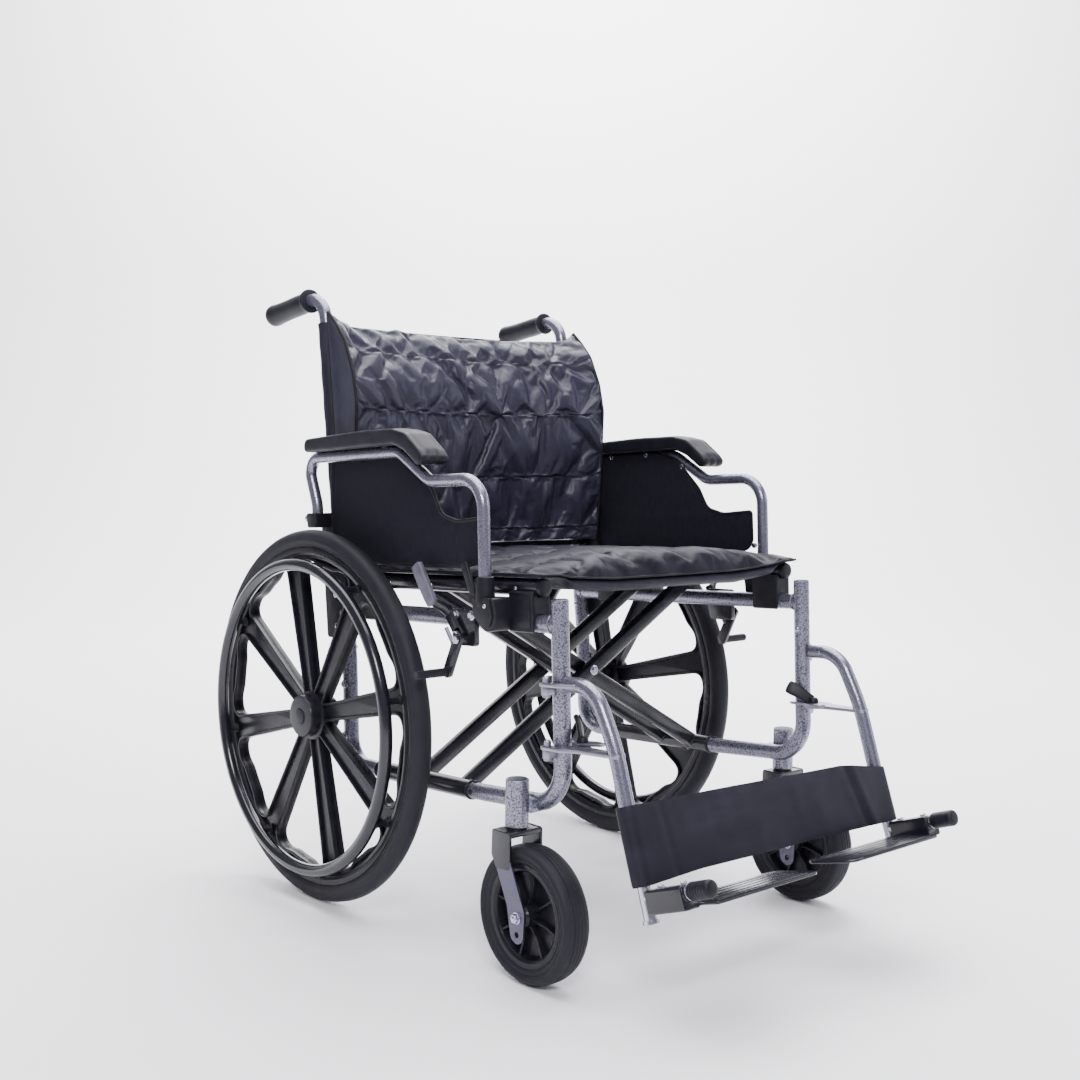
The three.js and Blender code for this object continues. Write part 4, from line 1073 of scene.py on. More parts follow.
# ------------------------------------------------------------------ casters
TR = -39.0
fork_legs = Shape()
leg_low = [(17, 178), (-20, 176)]
leg = smooth_profile([(-20, 186), (17, 186), (17, 178), (TR + 22, 110), (TR + 13, 66), (TR, 60), (TR - 13, 66), (TR - 15, 108), (-20, 176)], [1, 1, 10, 20, 12, 8, 12, 20, 10], 5)
for x0, x1 in ((-30.4, -27.0), (27.0, 30.4)):
    fork_legs.join(plate([leg, [(TR + a, 98 + b) for a, b in circle(4.6, 20)], [(TR + a, 74 + b) for a, b in circle(4.2, 20)]], x0, x1, "x", 0.5))
both("caster_fork_legs", around(fork_legs, (-297, -268, 0)), "caster", GREY_STEEL, "steel", space="level")
skirt = smooth_profile([(-21, 213), (18, 213), (18.5, 176), (8, 158), (-22, 160)], [4, 4, 6, 6, 5], 5)
crown = Shape(
    plate([skirt], -31, -26.4, "x", 1.0), plate([skirt], 26.4, 31, "x", 1.0),
    plate([smooth_profile([(-30.6, -21), (30.6, -21), (30.6, 18), (-30.6, 18)], 4)], 205, 212.4, "z", 1.6),
    stack((0, 0, 207), (0, 0, 1), [(0, 16), (4.6, 16), (5, 15.4), (6.8, 15.0)], 36))
both("caster_fork", around(crown, (-297, -268, 0)), "caster", GLOSS, "black_plastic", ["caster_fork"], space="level")
stem = stack((0, 0, 209), (0, 0, 1), [(0, 13.6), (4.6, 13.6), (4.7, 9.3), (60, 9.3)], 32)
both("caster_stem", around(stem, (-297, -268, 0)), "caster", CHROME, "chrome", space="level")
cax = Shape(rod((-33, TR, 98), (33, TR, 98), 4.2, 20))
for s_ in (-1, 1):
    cax.join(stack((30.5 * s_, TR, 98), (s_, 0, 0), [(0, 8.4), (1.2, 8.4), (1.4, 7.8)], 24))
    cax.join(hexa((31.8 * s_, TR, 98), (s_, 0, 0), 7.0, 5.4))
    cax.join(dome_head((37.2 * s_, TR, 98), (s_, 0, 0), 4.2, 2.6))
both("caster_axle", around(cax, (-297, -268, 0)), "caster", CHROME, "chrome", space="level", sharp=30)
CC = (-297, -307, 98)
ct = [(73.5, -17.0), (77, -19.4), (79, -20.0), (81, -19.4), (84, -21.4), (88, -22.8), (91.5, -22.0), (94.4, -18.6), (96.2, -14.6), (97.2, -10.6),
      (96.5, -9.8), (96.5, -8.8), (97.6, -8.0), (97.95, -4.6), (97.1, -3.8), (97.1, -2.8), (98, -2.0), (98, 2.0), (97.1, 2.8), (97.1, 3.8), (97.95, 4.6), (97.6, 8.0), (96.5, 8.8), (96.5, 9.8),
      (97.2, 10.6), (96.2, 14.6), (94.4, 18.6), (91.5, 22.0), (88, 22.8), (84, 21.4), (81, 19.4), (79, 20.0), (77, 19.4), (73.5, 17.0), (73, 0)]
both("caster_tyre", around(turned(ct, 96), CC), "caster_wheel", TYRE, "tyre", ["caster_tyre"], space="level", sharp=45)
cr_ = Shape(
    turned(smooth_profile([(62, -14.5), (66, -17.5), (73.4, -17.5), (73.4, 17.5), (66, 17.5), (62, 14.5), (58.5, 4), (58.5, -4)], [2, 1.5, 0.5, 0.5, 1.5, 2, 2, 2], 3), 96),
    turned([(14, -2.5), (62, -2.5), (62, 2.5), (14, 2.5)], 72),
    turned(smooth_profile([(5, -24.4), (12, -24.4), (15.5, -20), (17.5, -8), (19, 0), (17.5, 8), (15.5, 20), (12, 24.4), (5, 24.4)], [0, 1, 2, 2, 2, 2, 2, 1, 0], 3), 48))
for k in range(8):
    a = math.radians(12) + k * math.pi / 4
    d = Vector((0, math.cos(a), math.sin(a)))
    n_ = Vector((0, -math.sin(a), math.cos(a)))
    pr = []
    for rr, hw in ((15, 14.0), (38, 10.0), (61, 13.0)):
        pr.append((d * rr, hw))
    for w0 in (-1.7,):
        v = []
        for p, hw in pr:
            for x_ in (-hw, hw):
                for t_ in (-1.7, 1.7):
                    v.append(tuple(p + n_ * t_ + Vector((x_, 0, 0))))
        s = Shape()
        s.v = v
        for q in (0, 4):
            s.f += [(q, q + 1, q + 5, q + 4), (q + 1, q + 3, q + 7, q + 5), (q + 3, q + 2, q + 6, q + 7), (q + 2, q, q + 4, q + 6)]
        s.f += [(0, 2, 3, 1), (8, 9, 11, 10)]
        cr_.join(s)
both("caster_rim", around(cr_, CC), "caster_wheel", WHEEL, "black_plastic", ["caster_rim"], space="level", bevel=0.4)

# ------------------------------------------------------------------ leg rests
hx = -272.0


def hp(y, z, r=0):
    a, b = to_lean(y, z)
    return [hx, a, b, r]


lo_, hi_ = to_lean(-489, 200), to_lean(-455, 296)
hd = Vector((0, lo_[0] - hi_[0], lo_[1] - hi_[1])).normalized()
hanger = tube([[hx, -346, 394, 0], hp(-395, 429, 52), hp(-438, 352, 260), hp(-489, 200)], 11, 28, step=0.08)
hangers = both("hanger", hanger, "legrest", HAMMER_FINE, "hammertone", ["hanger"])
hplates = Shape(
    plate([smooth_profile([(-300, -316), (-284, -316), (-283.5, -347.5), (-260, -347.5), (-260, -372), (-284, -376), (-300, -350)], [7, 7, 2, 3, 4, 6, 10]),
           [(-291 + a, -325 + b) for a, b in circle(5.7, 24)]], 391.4, 396.4, "z", 0.7),
    plate([smooth_profile([(-300, -316), (-284, -316), (-283.5, -347.5), (-249, -347.5), (-249, -366), (-258, -380), (-262, -452), (-282, -452), (-288, -380), (-300, -356)], [7, 7, 2, 4, 6, 6, 6, 6, 6, 8]),
           [(-291 + a, -325 + b) for a, b in circle(5.7, 24)]], 303.4, 308.4, "z", 0.7),
    stack((-257, -360, 308), (0, 0, 1), [(0, 4), (7, 4), (8, 3.2)], 20))
both("hanger_plates", hplates, "legrest", STEEL, "steel")
latch = plate([smooth_profile([(-264, -356), (-250.4, -350), (-250, -322), (-245, -320), (-242, -328), (-243, -352), (-236, -368), (-238, -388), (-250, -390), (-262, -368)], [5, 2, 2, 3, 3, 6, 6, 6, 5, 6])], 308.8, 312.8, "z", 0.7)
both("hanger_latch", latch, "latch", STEEL, "steel", ["hanger_latch"])
paddle = sweep([Vector((-256, -357, 317)), Vector((-251, -350, 322)), Vector((-245, -342, 329)), Vector((-239, -333, 335)), Vector((-236, -327, 338))], rounded_rect(20, 7.5, 3.4, 4), hint=(0.7, 0.7, 0), scale=[0.8, 0.9, 1.0, 1.1, 1.05], dome=3.0)
paddle.join(stack((-257, -360, 313), (0, 0, 1), [(0, 8.5), (5, 8.0), (7.5, 6.4), (8.4, 3)], 28))
both("hanger_latch_paddle", paddle, "latch", PLASTIC, "black_plastic")


def along(s_):
    return Vector((hx, lo_[0] + hd.y * s_, lo_[1] + hd.z * s_))


FOOT_TILT = math.radians(20)
fd = Vector((0, -math.cos(FOOT_TILT - TILT), math.sin(FOOT_TILT - TILT)))
corner = along(36)
ext = Shape(
    stack(along(-80), hd, [(0, 8.8), (144, 9), (145, 9), (145.2, 11.3), (149.4, 11.5), (150, 10.6)], 32),
    stack(corner, fd, [(0, 8), (100, 8), (113, 8)], 28),
    stack(corner + fd * 79.6, fd, [(0, 10.6), (1, 11.4), (4.2, 11.4), (4.9, 10.4)], 28))
for s_ in (10, 22):
    ext.join(stack(along(s_) + Vector((0, 0, 0)), Vector((0, 1, 0)), [(8.2, 3.2), (9.4, 3.2), (10.0, 2.4)], 16))
both("footrest_tube", ext, "extension", CHROME, "chrome", ["footrest_tube"], sharp=40)
both("hanger_button", Shape(dome_head(along(-66) + Vector((-11.0, 0, 0)), (-1, 0, 0), 4.6, 3.2), dome_head(along(-40) + Vector((11.0, 0, 0)), (1, 0, 0), 5.2, 3.0)), "legrest", CHROME, "chrome")


def tipped(shape, drop=False):
    """a shape drawn with the footplate axis along -Y, set at its place on the footrest tube"""
    def fn(p):
        q = p.copy()
        if drop:
            a = math.radians(6)
            y, z = q[:, 1] + 18, q[:, 2].copy()
            q[:, 1] = y * math.cos(a) - z * math.sin(a) - 18
            q[:, 2] = y * math.sin(a) + z * math.cos(a)
        a = TILT - FOOT_TILT
        y, z = q[:, 1].copy(), q[:, 2].copy()
        q[:, 1] = y * math.cos(a) - z * math.sin(a) + corner.y
        q[:, 2] = y * math.sin(a) + z * math.cos(a) + corner.z
        return q
    return shape.moved(fn)


block = tipped(plate([smooth_profile([(hx - 15, -22), (hx + 15, -22), (hx + 15, 9.5), (hx - 15, 9.5)], 3.5), [(hx + a, b) for a, b in circle(8.6, 28)]], -80, -13, "y", 1.2))
both("footplate_block", block, "footplate", GLOSS, "black_plastic")
treads = []
plate_line = smooth_profile([(hx + 8, -78), (hx + 20, -80), (hx + 25, -104), (-46, -104), (-36, -94), (-34, -28), (-46, -18), (hx + 8, -18)], [3, 6, 6, 12, 10, 10, 12, 3], 5)
fp = tipped(Shape(plate([plate_line], -14.2, -10.4, "z", 1.2),
                 plate([smooth_profile([(hx + 27, -104), (-64, -104), (-64, -101), (hx + 27, -101)], 1.2)], -13, -8.0, "z", 0.7),
                 *[plate([smooth_profile([(hx + 34, yy), (-56, yy), (-56, yy + 2.0), (hx + 34, yy + 2.0)], 0.9)], -10.8, -9.9, "z", 0.35) for yy in (-88, -74, -60, -46, -32)]), drop=True)
both("footplate", fp, "footplate", GLOSS, "black_plastic", ["footplate"])
fb_ = Shape(tipped(Shape(bolt_head((hx + 4, -70, 9.3), (0, 0, 1), 4.6, 3, 6.5), bolt_head((hx + 4, -28, 9.3), (0, 0, 1), 4.6, 3, 6.5))))
both("footplate_bolts", fb_, "footplate", CHROME, "chrome")
bump_ = [(0, 10.4), (0.8, 11.6), (2, 12.1)]
at = 4.0
while at < 30:
    bump_ += [(at, 12.2), (at + 1.0, 11.8), (at + 1.8, 11.8), (at + 2.8, 12.2)]
    at += 4.6
bump_ += [(32.8, 12.1), (35.6, 11.2), (37.2, 9.0), (37.6, 5), (37.7, 1)]
both("footrest_bumper", stack(Vector((hx, corner.y, corner.z)) + fd * 84.6, fd, bump_, 36), "extension", FOAM, "black_rubber", ["footrest_bumper"], sharp=50)

# ------------------------------------------------------------------ calf strap
nx = Vector((0, -hd.z, hd.y))
if nx.y < 0:
    nx = -nx
HXP = 272.0


def strap_top(x):
    t = (x + HXP) / (2 * HXP)
    return -84 + np.interp(t, [0, 0.3, 0.6, 0.82, 1.0], [0, 3.0, 7.0, 9.5, 25])


def strap_low(x):
    t = (x + HXP) / (2 * HXP)
    return 16 + np.interp(t, [0, 0.18, 0.45, 0.7, 1.0], [5, 1.5, 4.0, 5.0, 9])


def strap_sheet(pts, name, body, mirror_of=None, seed=0.0):
    """a 2.4 mm thick band standing on a plan line of (x, across) points"""
    n = len(pts)
    cum = [0.0]
    for a, b in zip(pts, pts[1:]):
        cum.append(cum[-1] + math.hypot(b[0] - a[0], b[1] - a[1]))
    rows = 22
    th = 2.3

    def side_(offset):
        def fn(u, v):
            i = min(int(u * (n - 1) + 1e-9), n - 2)
            f = u * (n - 1) - i
            x = pts[i][0] * (1 - f) + pts[i + 1][0] * f
            q = pts[i][1] * (1 - f) + pts[i + 1][1] * f
            tx, tq = pts[min(i + 1, n - 1)][0] - pts[i][0], pts[min(i + 1, n - 1)][1] - pts[i][1]
            l = math.hypot(tx, tq) or 1
            ox, oq = -tq / l, tx / l
            xx = max(-HXP, min(HXP, x))
            s0, s1 = float(strap_top(xx)), float(strap_low(xx))
            s_ = s0 + (s1 - s0) * v
            loose = 1.0 if abs(x) < HXP - 6 else 0.0
            amp = loose * min(1.0, (HXP - 6 - abs(x)) / 30.0) if loose else 0.0
            front = 1 if q < 0 else -1
            w = noise.noise(Vector((x * 0.012 + seed, v * 1.3, seed))) * 2.6 + noise.noise(Vector((x * 0.035, v * 2.2 + seed, 7))) * 0.9
            fold = -2.6 * math.exp(-((x - 178 - 26 * v) / 7.0) ** 2) + 1.6 * math.exp(-((x - 196 - 26 * v) / 9.0) ** 2)
            fold += -1.0 * math.exp(-((x + 228 - 10 * v) / 6.0) ** 2)
            bowl = 3.0 * math.sin(math.pi * (x + HXP) / (2 * HXP)) * (0.6 if front > 0 else -0.2)
            push = amp * (w + fold * (1 if front > 0 else 0.3)) * (1 if front > 0 else 0.7) + bowl * (1 if loose else 0)
            edge = 1.0 if 0.035 < v < 0.965 else 0.55
            o = offset * edge
            x += ox * (-o)
            q += oq * (-o) - push * (1.0 if front > 0 else -0.4)
            p = Vector((x, lo_[0], lo_[1])) + hd * s_ + nx * q
            return (p.x, p.y, p.z)
        return fn

    nu = max(24, int(cum[-1] / 4))
    # even steps along the line
    tt = np.interp(np.linspace(0, cum[-1], nu), cum, np.arange(n)) / (n - 1)
    s = Shape()
    for off in (th / 2, -th / 2):
        fn = side_(off)
        for j in range(rows):
            v = j / (rows - 1)
            for t in tt:
                s.v.append(fn(float(t), v))
    m = nu
    half = m * rows
    for j in range(rows - 1):
        for i in range(m - 1):
            a, b = j * m + i, j * m + i + 1
            s.f.append((a, b, b + m, a + m))
            s.f.append((half + a, half + a + m, half + b + m, half + b))
    for i in range(m - 1):
        a = i
        s.f.append((a, half + a, half + a + 1, a + 1))
        a = (rows - 1) * m + i
        s.f.append((a, a + 1, half + a + 1, half + a))
    for j in range(rows - 1):
        a = j * m
        s.f.append((a, a + m, half + a + m, half + a))
        a = j * m + m - 1
        s.f.append((a, half + a, half + a + m, a + m))
    return s


def arc(cx, r, a0, a1, n=14):
    return [(cx + r * math.cos(math.radians(a0 + (a1 - a0) * k / n)), r * math.sin(math.radians(a0 + (a1 - a0) * k / n))) for k in range(n + 1)]


R1 = 14.1
# near end: round the right hanger; the runs go to just short of the left hanger
line_main = [(x, R1) for x in np.linspace(238, -272, 60)] + arc(-272, R1, 90, 270)[1:-1] + [(x, -R1) for x in np.linspace(-272, 238, 60)]
line_end = [(x, R1 + 0.0) for x in np.linspace(212, 272, 12)] + [p for p in reversed(arc(272, R1, -90, 90)[1:-1])] + [(x, -R1) for x in np.linspace(272, 212, 12)]
main = build("calf_strap", strap_sheet(line_main, "m", "b", seed=3.1), "legrest_right", STRAP, "nylon", replaces=["calf_strap"], sharp=50)
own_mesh(main)
endp = build("calf_strap_end", strap_sheet(line_end, "m", "b", seed=3.1), "legrest_left", STRAP, "nylon", sharp=50)


def back_depth(z):
    return float(np.interp(z, [566, 577, 600, 650, 700, 770, 811, 860, 912, 940, 960, 975], [40, 46, 52, 63, 73, 84, 91, 86, 68, 46, 26, 14]))


SEAMS = [577, 603, 700, 811, 912, 960]


def top_edge(x):
    """the pad's top border: its corners reach up the canes and the middle hangs lower"""
    u = abs(x) / 280
    return 953 + 4.0 * u ** 2 + 16.0 * max(0.0, (u - 0.86) / 0.14) ** 2 - 1.5 * math.sin(x * 0.021)


def pad_front(x, v, puff=1.0):
    z0, z1 = 577.0, top_edge(x)
    z = z0 + (z1 - z0) * v
    zs = z0 + (960 - z0) * v
    f = back_depth(zs)
    u = x / 280
    mid = 48 * (1 - u * u)
    d = f - mid * (0.72 + 0.28 * min(1.0, f / 60))
    y = cane_y(z) - d
    return Vector((x, y, z)), zs


def make_cloth(name, nu, nv, surface, pin, material, cap, frames=22, pressure=6.0, shrink=-0.09, seed=1, normal_up=False, diag=0.010):
    """a sheet pinned along its seams and edges and blown up between them"""
    s = grid(nu, nv, surface)
    co = np.array(s.v, float)
    rng = np.random.default_rng(seed)
    me = bpy.data.meshes.new(name)
    row = lean_to_row(co)
    me.from_pydata(row.tolist(), [], s.f)
    me.update()
    ob = bpy.data.objects.new(name, me)
    scene.collection.objects.link(ob)
    # outward is +normal
    normals = np.array([v.normal for v in me.vertices])
    want = np.array([0, 0, 1.0]) if normal_up else np.array([0, -1.0, 0])
    if (normals @ want).mean() < 0:
        bm = bmesh.new(); bm.from_mesh(me)
        bmesh.ops.reverse_faces(bm, faces=bm.faces)
        bm.to_mesh(me); bm.free()
        normals = -normals
    base = np.array([v.co for v in me.vertices])
    weights = np.array([pin(i / (nu - 1), j / (nv - 1)) for j in range(nv) for i in range(nu)])
    free = 1 - weights
    start = base + normals * (free * 0.0030)[:, None]
    k1 = np.array([noise.noise(Vector((p[0] * 34 + seed, p[1] * 34, p[2] * 34))) for p in base])
    k3 = np.array([noise.noise(Vector(((p[0] + 0.75 * p[2] + 0.75 * p[1]) * 21 + seed, (p[0] - 0.9 * p[2] - 0.9 * p[1]) * 6, 2.0)))
                   + 0.6 * noise.noise(Vector(((p[0] - 0.6 * p[2] - 0.6 * p[1]) * 27 + 9 + seed, (p[0] + 0.8 * p[2] + 0.8 * p[1]) * 6, 7.0))) for p in base])
    start += normals * (free * (k1 * 0.002 + k3 * diag))[:, None]
    me.vertices.foreach_set("co", start.astype(np.float32).ravel())
    me.update()
    vg = ob.vertex_groups.new(name="pin")
    for w in (1.0,):
        vg.add([int(i) for i in np.nonzero(weights > 0.5)[0]], w, "REPLACE")
    m = ob.modifiers.new("cloth", "CLOTH")
    c = m.settings
    c.quality = 6
    c.mass = 0.25
    c.air_damping = 1.2
    c.tension_stiffness = 18
    c.compression_stiffness = 18
    c.shear_stiffness = 8
    c.bending_stiffness = 0.35
    c.tension_damping = c.compression_damping = c.shear_damping = 8
    c.bending_damping = 0.6
    c.vertex_group_mass = "pin"
    c.pin_stiffness = 1.0
    c.shrink_min = shrink
    c.use_pressure = True
    c.uniform_pressure_force = pressure
    c.effector_weights.gravity = 0.0
    m.collision_settings.use_collision = False
    m.collision_settings.use_self_collision = False
    m.point_cache.frame_start, m.point_cache.frame_end = 1, frames + 2
    for fr in range(1, frames + 1):
        scene.frame_set(fr)
    dg = bpy.context.evaluated_depsgraph_get()
    ev = ob.evaluated_get(dg).to_mesh()
    out = np.zeros(len(base) * 3)
    ev.vertices.foreach_get("co", out)
    out = out.reshape(-1, 3)
    ob.evaluated_get(dg).to_mesh_clear()
    ob.modifiers.clear()
    ob.vertex_groups.clear()
    scene.frame_set(1)
    move = out - base
    out_n = (move * normals).sum(1)
    print(name, "pressed out by up to", round(float(out_n.max()) * 1000, 1), "mm")
    length = np.linalg.norm(move, axis=1)
    lim = cap / 1000
    k = np.where(length > 1e-9, lim * np.tanh(length / lim) / np.maximum(length, 1e-9), 1.0)
    out = base + move * k[:, None]
    # keep it from dipping far inside
    out_n = ((out - base) * normals).sum(1)
    out += normals * np.maximum(0, -0.003 - out_n)[:, None]
    me.vertices.foreach_set("co", out.astype(np.float32).ravel())
    me.update()
    return ob, me, out, s


NU, NV = 141, 105


def back_surface(u, v):
    return tuple(pad_front(-280 + 560 * u, v)[0])


seam_rows = {round((z - 577) / (960 - 577) * (NV - 1)) for z in SEAMS}


def back_pin(u, v):
    j = round(v * (NV - 1))
    i = round(u * (NU - 1))
    return 1.0 if j in seam_rows or i in (0, NU - 1) else 0.0


cloth_ob, cloth_me, cloth_co, cloth_shape = make_cloth("back_front_tmp", NU, NV, back_surface, back_pin, QUILT, 17.0, frames=22, pressure=9.0, shrink=-0.095, seed=5, diag=0.012)
front_faces = [tuple(p.vertices) for p in cloth_me.polygons]
bpy.data.objects.remove(cloth_ob)
# the shell: front sheet, side gussets running back to the canes, top, bottom and back
pad_v = [tuple(p) for p in cloth_co]
pad_f = list(front_faces)


def back_rear(x, z):
    """the pad's hidden back, just in front of the sling"""
    y = cane_y(z) + (np.interp(abs(x), [0, 120, 200, 246, 247, 280], [22.2, 17.2, 7.2, -3.4, -17.4, -17.4]))
    return (x, float(y), z)


rear_idx = {}
xs = [-280 + 560 * i / (NU - 1) for i in range(NU)]
for j in range(NV):
    for i in range(NU):
        x = xs[i]
        z = pad_front(x, j / (NV - 1))[0].z
        p = list(back_rear(x, z))
        fy = pad_front(x, j / (NV - 1))[0].y
        p[1] = max(p[1], fy + 1.2)
        rear_idx[(i, j)] = len(pad_v)
        pad_v.append(tuple(lean_to_row([p])[0]))
for j in range(NV - 1):
    for i in range(NU - 1):
        pad_f.append((rear_idx[(i, j)], rear_idx[(i, j + 1)], rear_idx[(i + 1, j + 1)], rear_idx[(i + 1, j)]))
GN = 5


def strip(front, rear, bulge, axis_vec):
    """joins a front edge to the rear edge with rows between them"""
    rows = [front]
    for k in range(1, GN):
        t = k / GN
        row = []
        for a, b in zip(front, rear):
            p = Vector(pad_v[a]).lerp(Vector(pad_v[b]), t) + Vector(axis_vec) * bulge * math.sin(math.pi * t) * min(1.0, (Vector(pad_v[a]) - Vector(pad_v[b])).length / 0.05)
            row.append(len(pad_v))
            pad_v.append(tuple(p))
        rows.append(row)
    rows.append(rear)
    for r0, r1 in zip(rows, rows[1:]):
        for k in range(len(r0) - 1):
            pad_f.append((r0[k], r0[k + 1], r1[k + 1], r1[k]))


strip([j * NU for j in range(NV)], [rear_idx[(0, j)] for j in range(NV)], 0.0022, (1, 0, 0))
strip([j * NU + NU - 1 for j in range(NV)], [rear_idx[(NU - 1, j)] for j in range(NV)], 0.0022, (-1, 0, 0))
strip([i for i in range(NU)], [rear_idx[(i, 0)] for i in range(NU)], -0.002, (0, 0, 1))
strip([(NV - 1) * NU + i for i in range(NU)], [rear_idx[(i, NV - 1)] for i in range(NU)], 0.003, (0, 0, 1))
shell = Shape()
shell.v, shell.f = pad_v, pad_f
back_pad = build("back_pad", shell, "frame_right", QUILT, "quilt", space=None, replaces=["back_pad"], sharp=60, subsurf=1, weld=0.00005)
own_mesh(back_pad)


def cord_along(points, r, n=8):
    return sweep(points, circle(r, n), dome=r * 0.7)


pip = Shape()
for sgn in (-1, 1):
    line = [pad_front(280 * sgn, j / 60)[0] + Vector((-sgn * 0.9, 1.2, 0)) for j in range(61)]
    pip.join(cord_along(line, 3.1))
piping = build("back_pad_piping", pip, "frame_right", PIPING, "nylon", sharp=60)
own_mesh(piping)

# stitching along the seams: short dashes lying in each seam
st = Shape()
for zz in SEAMS[1:-1]:
    x = -272.0
    v = (zz - 577) / (960 - 577)
    while x < 272:
        a = pad_front(x, v)[0] + Vector((0, -0.9, 0))
        b = pad_front(x + 3.4, v)[0] + Vector((0, -0.9, 0))
        st.join(sweep([a, b], circle(0.5, 5)))
        x += 5.2
stitches = build("back_pad_stitches", st, "frame_right", SLING, "quilt", sharp=60)
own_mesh(stitches)

# sling behind the pad, with a sleeve round each cane
sl = Shape()
NS = 90


def sling_y(x):
    return float(np.interp(abs(x), [0, 120, 200, 259], [24, 19, 9, -4]))


def sling_face(off):
    def fn(u, v):
        x = -259 + 518 * u
        z = 566 + 391 * v
        rip = 0.9 * math.sin(x * 0.05 + 2.1) * math.sin(math.pi * v) + 1.2 * noise.noise(Vector((x * 0.016, v * 4, 3)))
        return (x, cane_y(z) + sling_y(x) + (off if 0.0 < v < 1.0 else 4.0 + (off - 4.0) * 0.6) + rip * (1 if off > 4 else 0), z)
    return fn


a_, b_ = grid(NS, 60, sling_face(0.4)), grid(NS, 60, sling_face(7.4))
n0 = len(a_.v)
sl.v = a_.v + b_.v
sl.f = list(a_.f) + [tuple(reversed([i + n0 for i in f])) for f in b_.f]
for i in range(NS - 1):
    sl.f.append((i, i + n0, i + 1 + n0, i + 1))
    k = 59 * NS + i
    sl.f.append((k, k + 1, k + 1 + n0, k + n0))
for j in range(59):
    a = j * NS
    sl.f.append((a, a + NS, a + NS + n0, a + n0))
    a = j * NS + NS - 1
    sl.f.append((a, a + n0, a + n0 + NS, a + NS))
for sgn in (-1, 1):
    pts = [Vector((269 * sgn, cane_y(z), z)) for z in np.linspace(566, 957, 50)]
    scl = [1.0 + 0.025 * math.sin(k * 0.9 + sgn) for k in range(50)]
    scl[0] = scl[-1] = 1.04
    sl.join(sweep(pts, circle(14.0, 28), scale=scl, caps=True))
sling = build("back_sling", sl, "frame_right", SLING, "nylon", replaces=["back_sling"], sharp=50)
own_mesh(sling)

# ------------------------------------------------------------------ seat
def seat_under(x):
    return float(np.interp(abs(x), [0, 140, 225, 236, 262, 282], [514, 513.5, 522, 535, 539.6, 540.2]))


def seat_mid(x):
    """where the pad meets the sling"""
    return float(np.interp(abs(x), [0, 140, 225, 250, 282], [531.5, 532, 538, 542.6, 543.2]))


sl2 = Shape()
NSX, NSY = 100, 60
for off in (0, 1):
    def fn(u, v, off=off):
        x = -282 + 564 * u
        y = -309 + 480 * v
        lo, hi = seat_under(x), seat_mid(x) - 0.4
        hem = min(1.0, (y + 309) / 10.0)
        c = (lo + hi) / 2
        h = (hi - lo) / 2
        z = c + (h if off else -h) * (math.sqrt(max(0.0, 1 - (1 - hem) ** 2)) * 0.92 + 0.08)
        z += 0.9 * noise.noise(Vector((x * 0.02, y * 0.02, 4 + off))) * (0 if off else 1)
        return (x, y, z)
    g_ = grid(NSX, NSY, fn)
    n0 = len(sl2.v)
    sl2.v += g_.v
    sl2.f += [tuple(i + n0 for i in (f if off else reversed(f))) for f in g_.f]
n0 = NSX * NSY
for i in range(NSX - 1):
    sl2.f.append((i, i + 1, i + 1 + n0, i + n0))
    k = (NSY - 1) * NSX + i
    sl2.f.append((k, k + n0, k + 1 + n0, k + 1))
for j in range(NSY - 1):
    a = j * NSX
    sl2.f.append((a, a + n0, a + n0 + NSX, a + NSX))
    a = j * NSX + NSX - 1
    sl2.f.append((a, a + NSX, a + NSX + n0, a + n0))
seat_sling = build("seat_sling", sl2, "seat", SLING, "nylon", sharp=60)
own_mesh(seat_sling)

SX, SY = 141, 121
SEAT_SEAMS = [-214, -108, -2, 104]


def seat_top(x, y):
    u = abs(x) / 281
    zc = float(np.interp(abs(x), [0, 90, 170, 250, 281], [565, 563, 556, 546.8, 543.6]))
    e = min(1.0, (y + 306) / 46.0)
    e2 = min(1.0, (171 - y) / 30.0)
    k = math.sqrt(max(0.0, 1 - (1 - e) ** 2)) * math.sqrt(max(0.0, 1 - (1 - e2) ** 2))
    near = min(abs(y - s_) for s_ in SEAT_SEAMS)
    dip = 4.5 * math.exp(-(near / 9.0) ** 2) * (1 - u ** 4)
    return seat_mid(x) + 0.6 + (zc - seat_mid(x)) * k - dip * k


def seat_surface(u, v):
    x = -281 + 562 * u
    y = -306 - 3.0 * (abs(x) / 281) ** 8 + 477 * v
    return (x, y, seat_top(x, y))


seat_rows = {round((s_ + 306) / 477 * (SY - 1)) for s_ in SEAT_SEAMS}


def seat_pin(u, v):
    j, i = round(v * (SY - 1)), round(u * (SX - 1))
    return 1.0 if j in seat_rows or i in (0, SX - 1) or j in (0, SY - 1) else 0.0


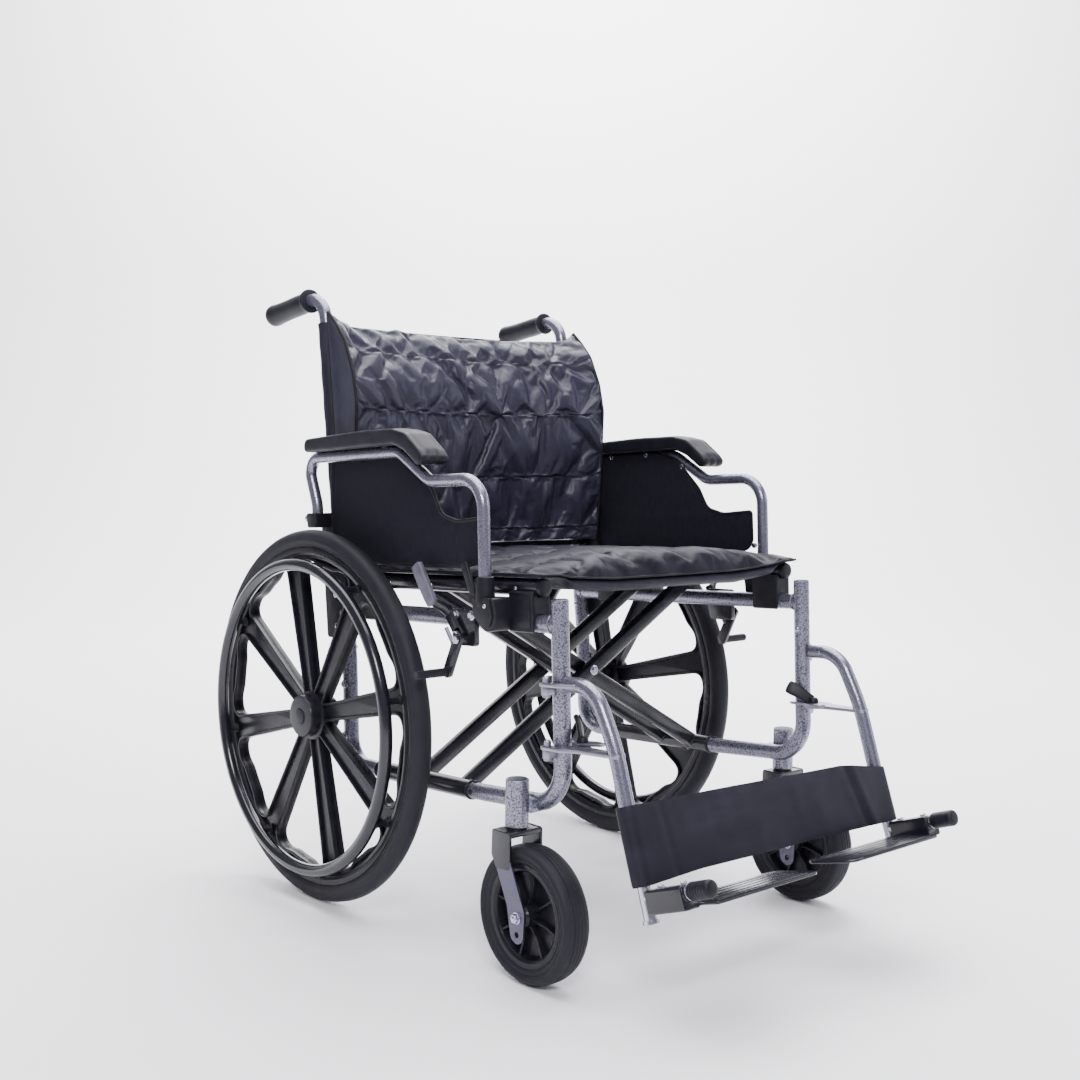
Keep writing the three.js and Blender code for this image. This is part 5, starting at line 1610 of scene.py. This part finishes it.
seat_ob, seat_me, seat_co, _ = make_cloth("seat_top_tmp", SX, SY, seat_surface, seat_pin, QUILT, 9.0, frames=20, pressure=5.0, shrink=-0.06, seed=11, normal_up=True, diag=0.006)
top_faces = [tuple(p.vertices) for p in seat_me.polygons]
bpy.data.objects.remove(seat_ob)
pv = [tuple(p) for p in seat_co]
pf = list(top_faces)
bot = {}
for j in range(SY):
    for i in range(SX):
        x, y, _z = seat_surface(i / (SX - 1), j / (SY - 1))
        z = seat_mid(x)
        bot[(i, j)] = len(pv)
        pv.append(tuple(lean_to_row([(x, y, z)])[0]))
for j in range(SY - 1):
    for i in range(SX - 1):
        pf.append((bot[(i, j)], bot[(i, j + 1)], bot[(i + 1, j + 1)], bot[(i + 1, j)]))
ring_t = [i for i in range(SX)] + [j * SX + SX - 1 for j in range(1, SY)] + [(SY - 1) * SX + i for i in range(SX - 2, -1, -1)] + [j * SX for j in range(SY - 2, 0, -1)]
ring_b = [bot[(i, 0)] for i in range(SX)] + [bot[(SX - 1, j)] for j in range(1, SY)] + [bot[(i, SY - 1)] for i in range(SX - 2, -1, -1)] + [bot[(0, j)] for j in range(SY - 2, 0, -1)]
for k in range(len(ring_t)):
    a, b = k, (k + 1) % len(ring_t)
    pf.append((ring_t[a], ring_t[b], ring_b[b], ring_b[a]))
shell = Shape()
shell.v, shell.f = pv, pf
# the seat pad takes the darker seat copy of the quilt nylon, whose colour carries painted shade
seat_pad = build("seat_pad", shell, "seat", QUILT_SEAT_PAINTED_SHADE, "quilt", space=None, replaces=["seat_upholstery"], sharp=60, subsurf=1, weld=0.00005)
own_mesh(seat_pad)
sp = Shape()
edge_pts = []
for i in range(0, SX, 2):
    edge_pts.append(Vector(seat_surface(i / (SX - 1), 0)) + Vector((0, -0.6, 0.4)))
for j in range(1, SY, 2):
    edge_pts.append(Vector(seat_surface(1, j / (SY - 1))) + Vector((0.4, 0, 0.4)))
sp.join(cord_along(edge_pts, 1.7))
edge_pts = []
for j in range(0, SY, 2):
    edge_pts.append(Vector(seat_surface(0, j / (SY - 1))) + Vector((-0.4, 0, 0.4)))
sp.join(cord_along(edge_pts, 1.7))
seat_pip = build("seat_pad_piping", sp, "seat", PIPING, "nylon", sharp=60)
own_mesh(seat_pip)
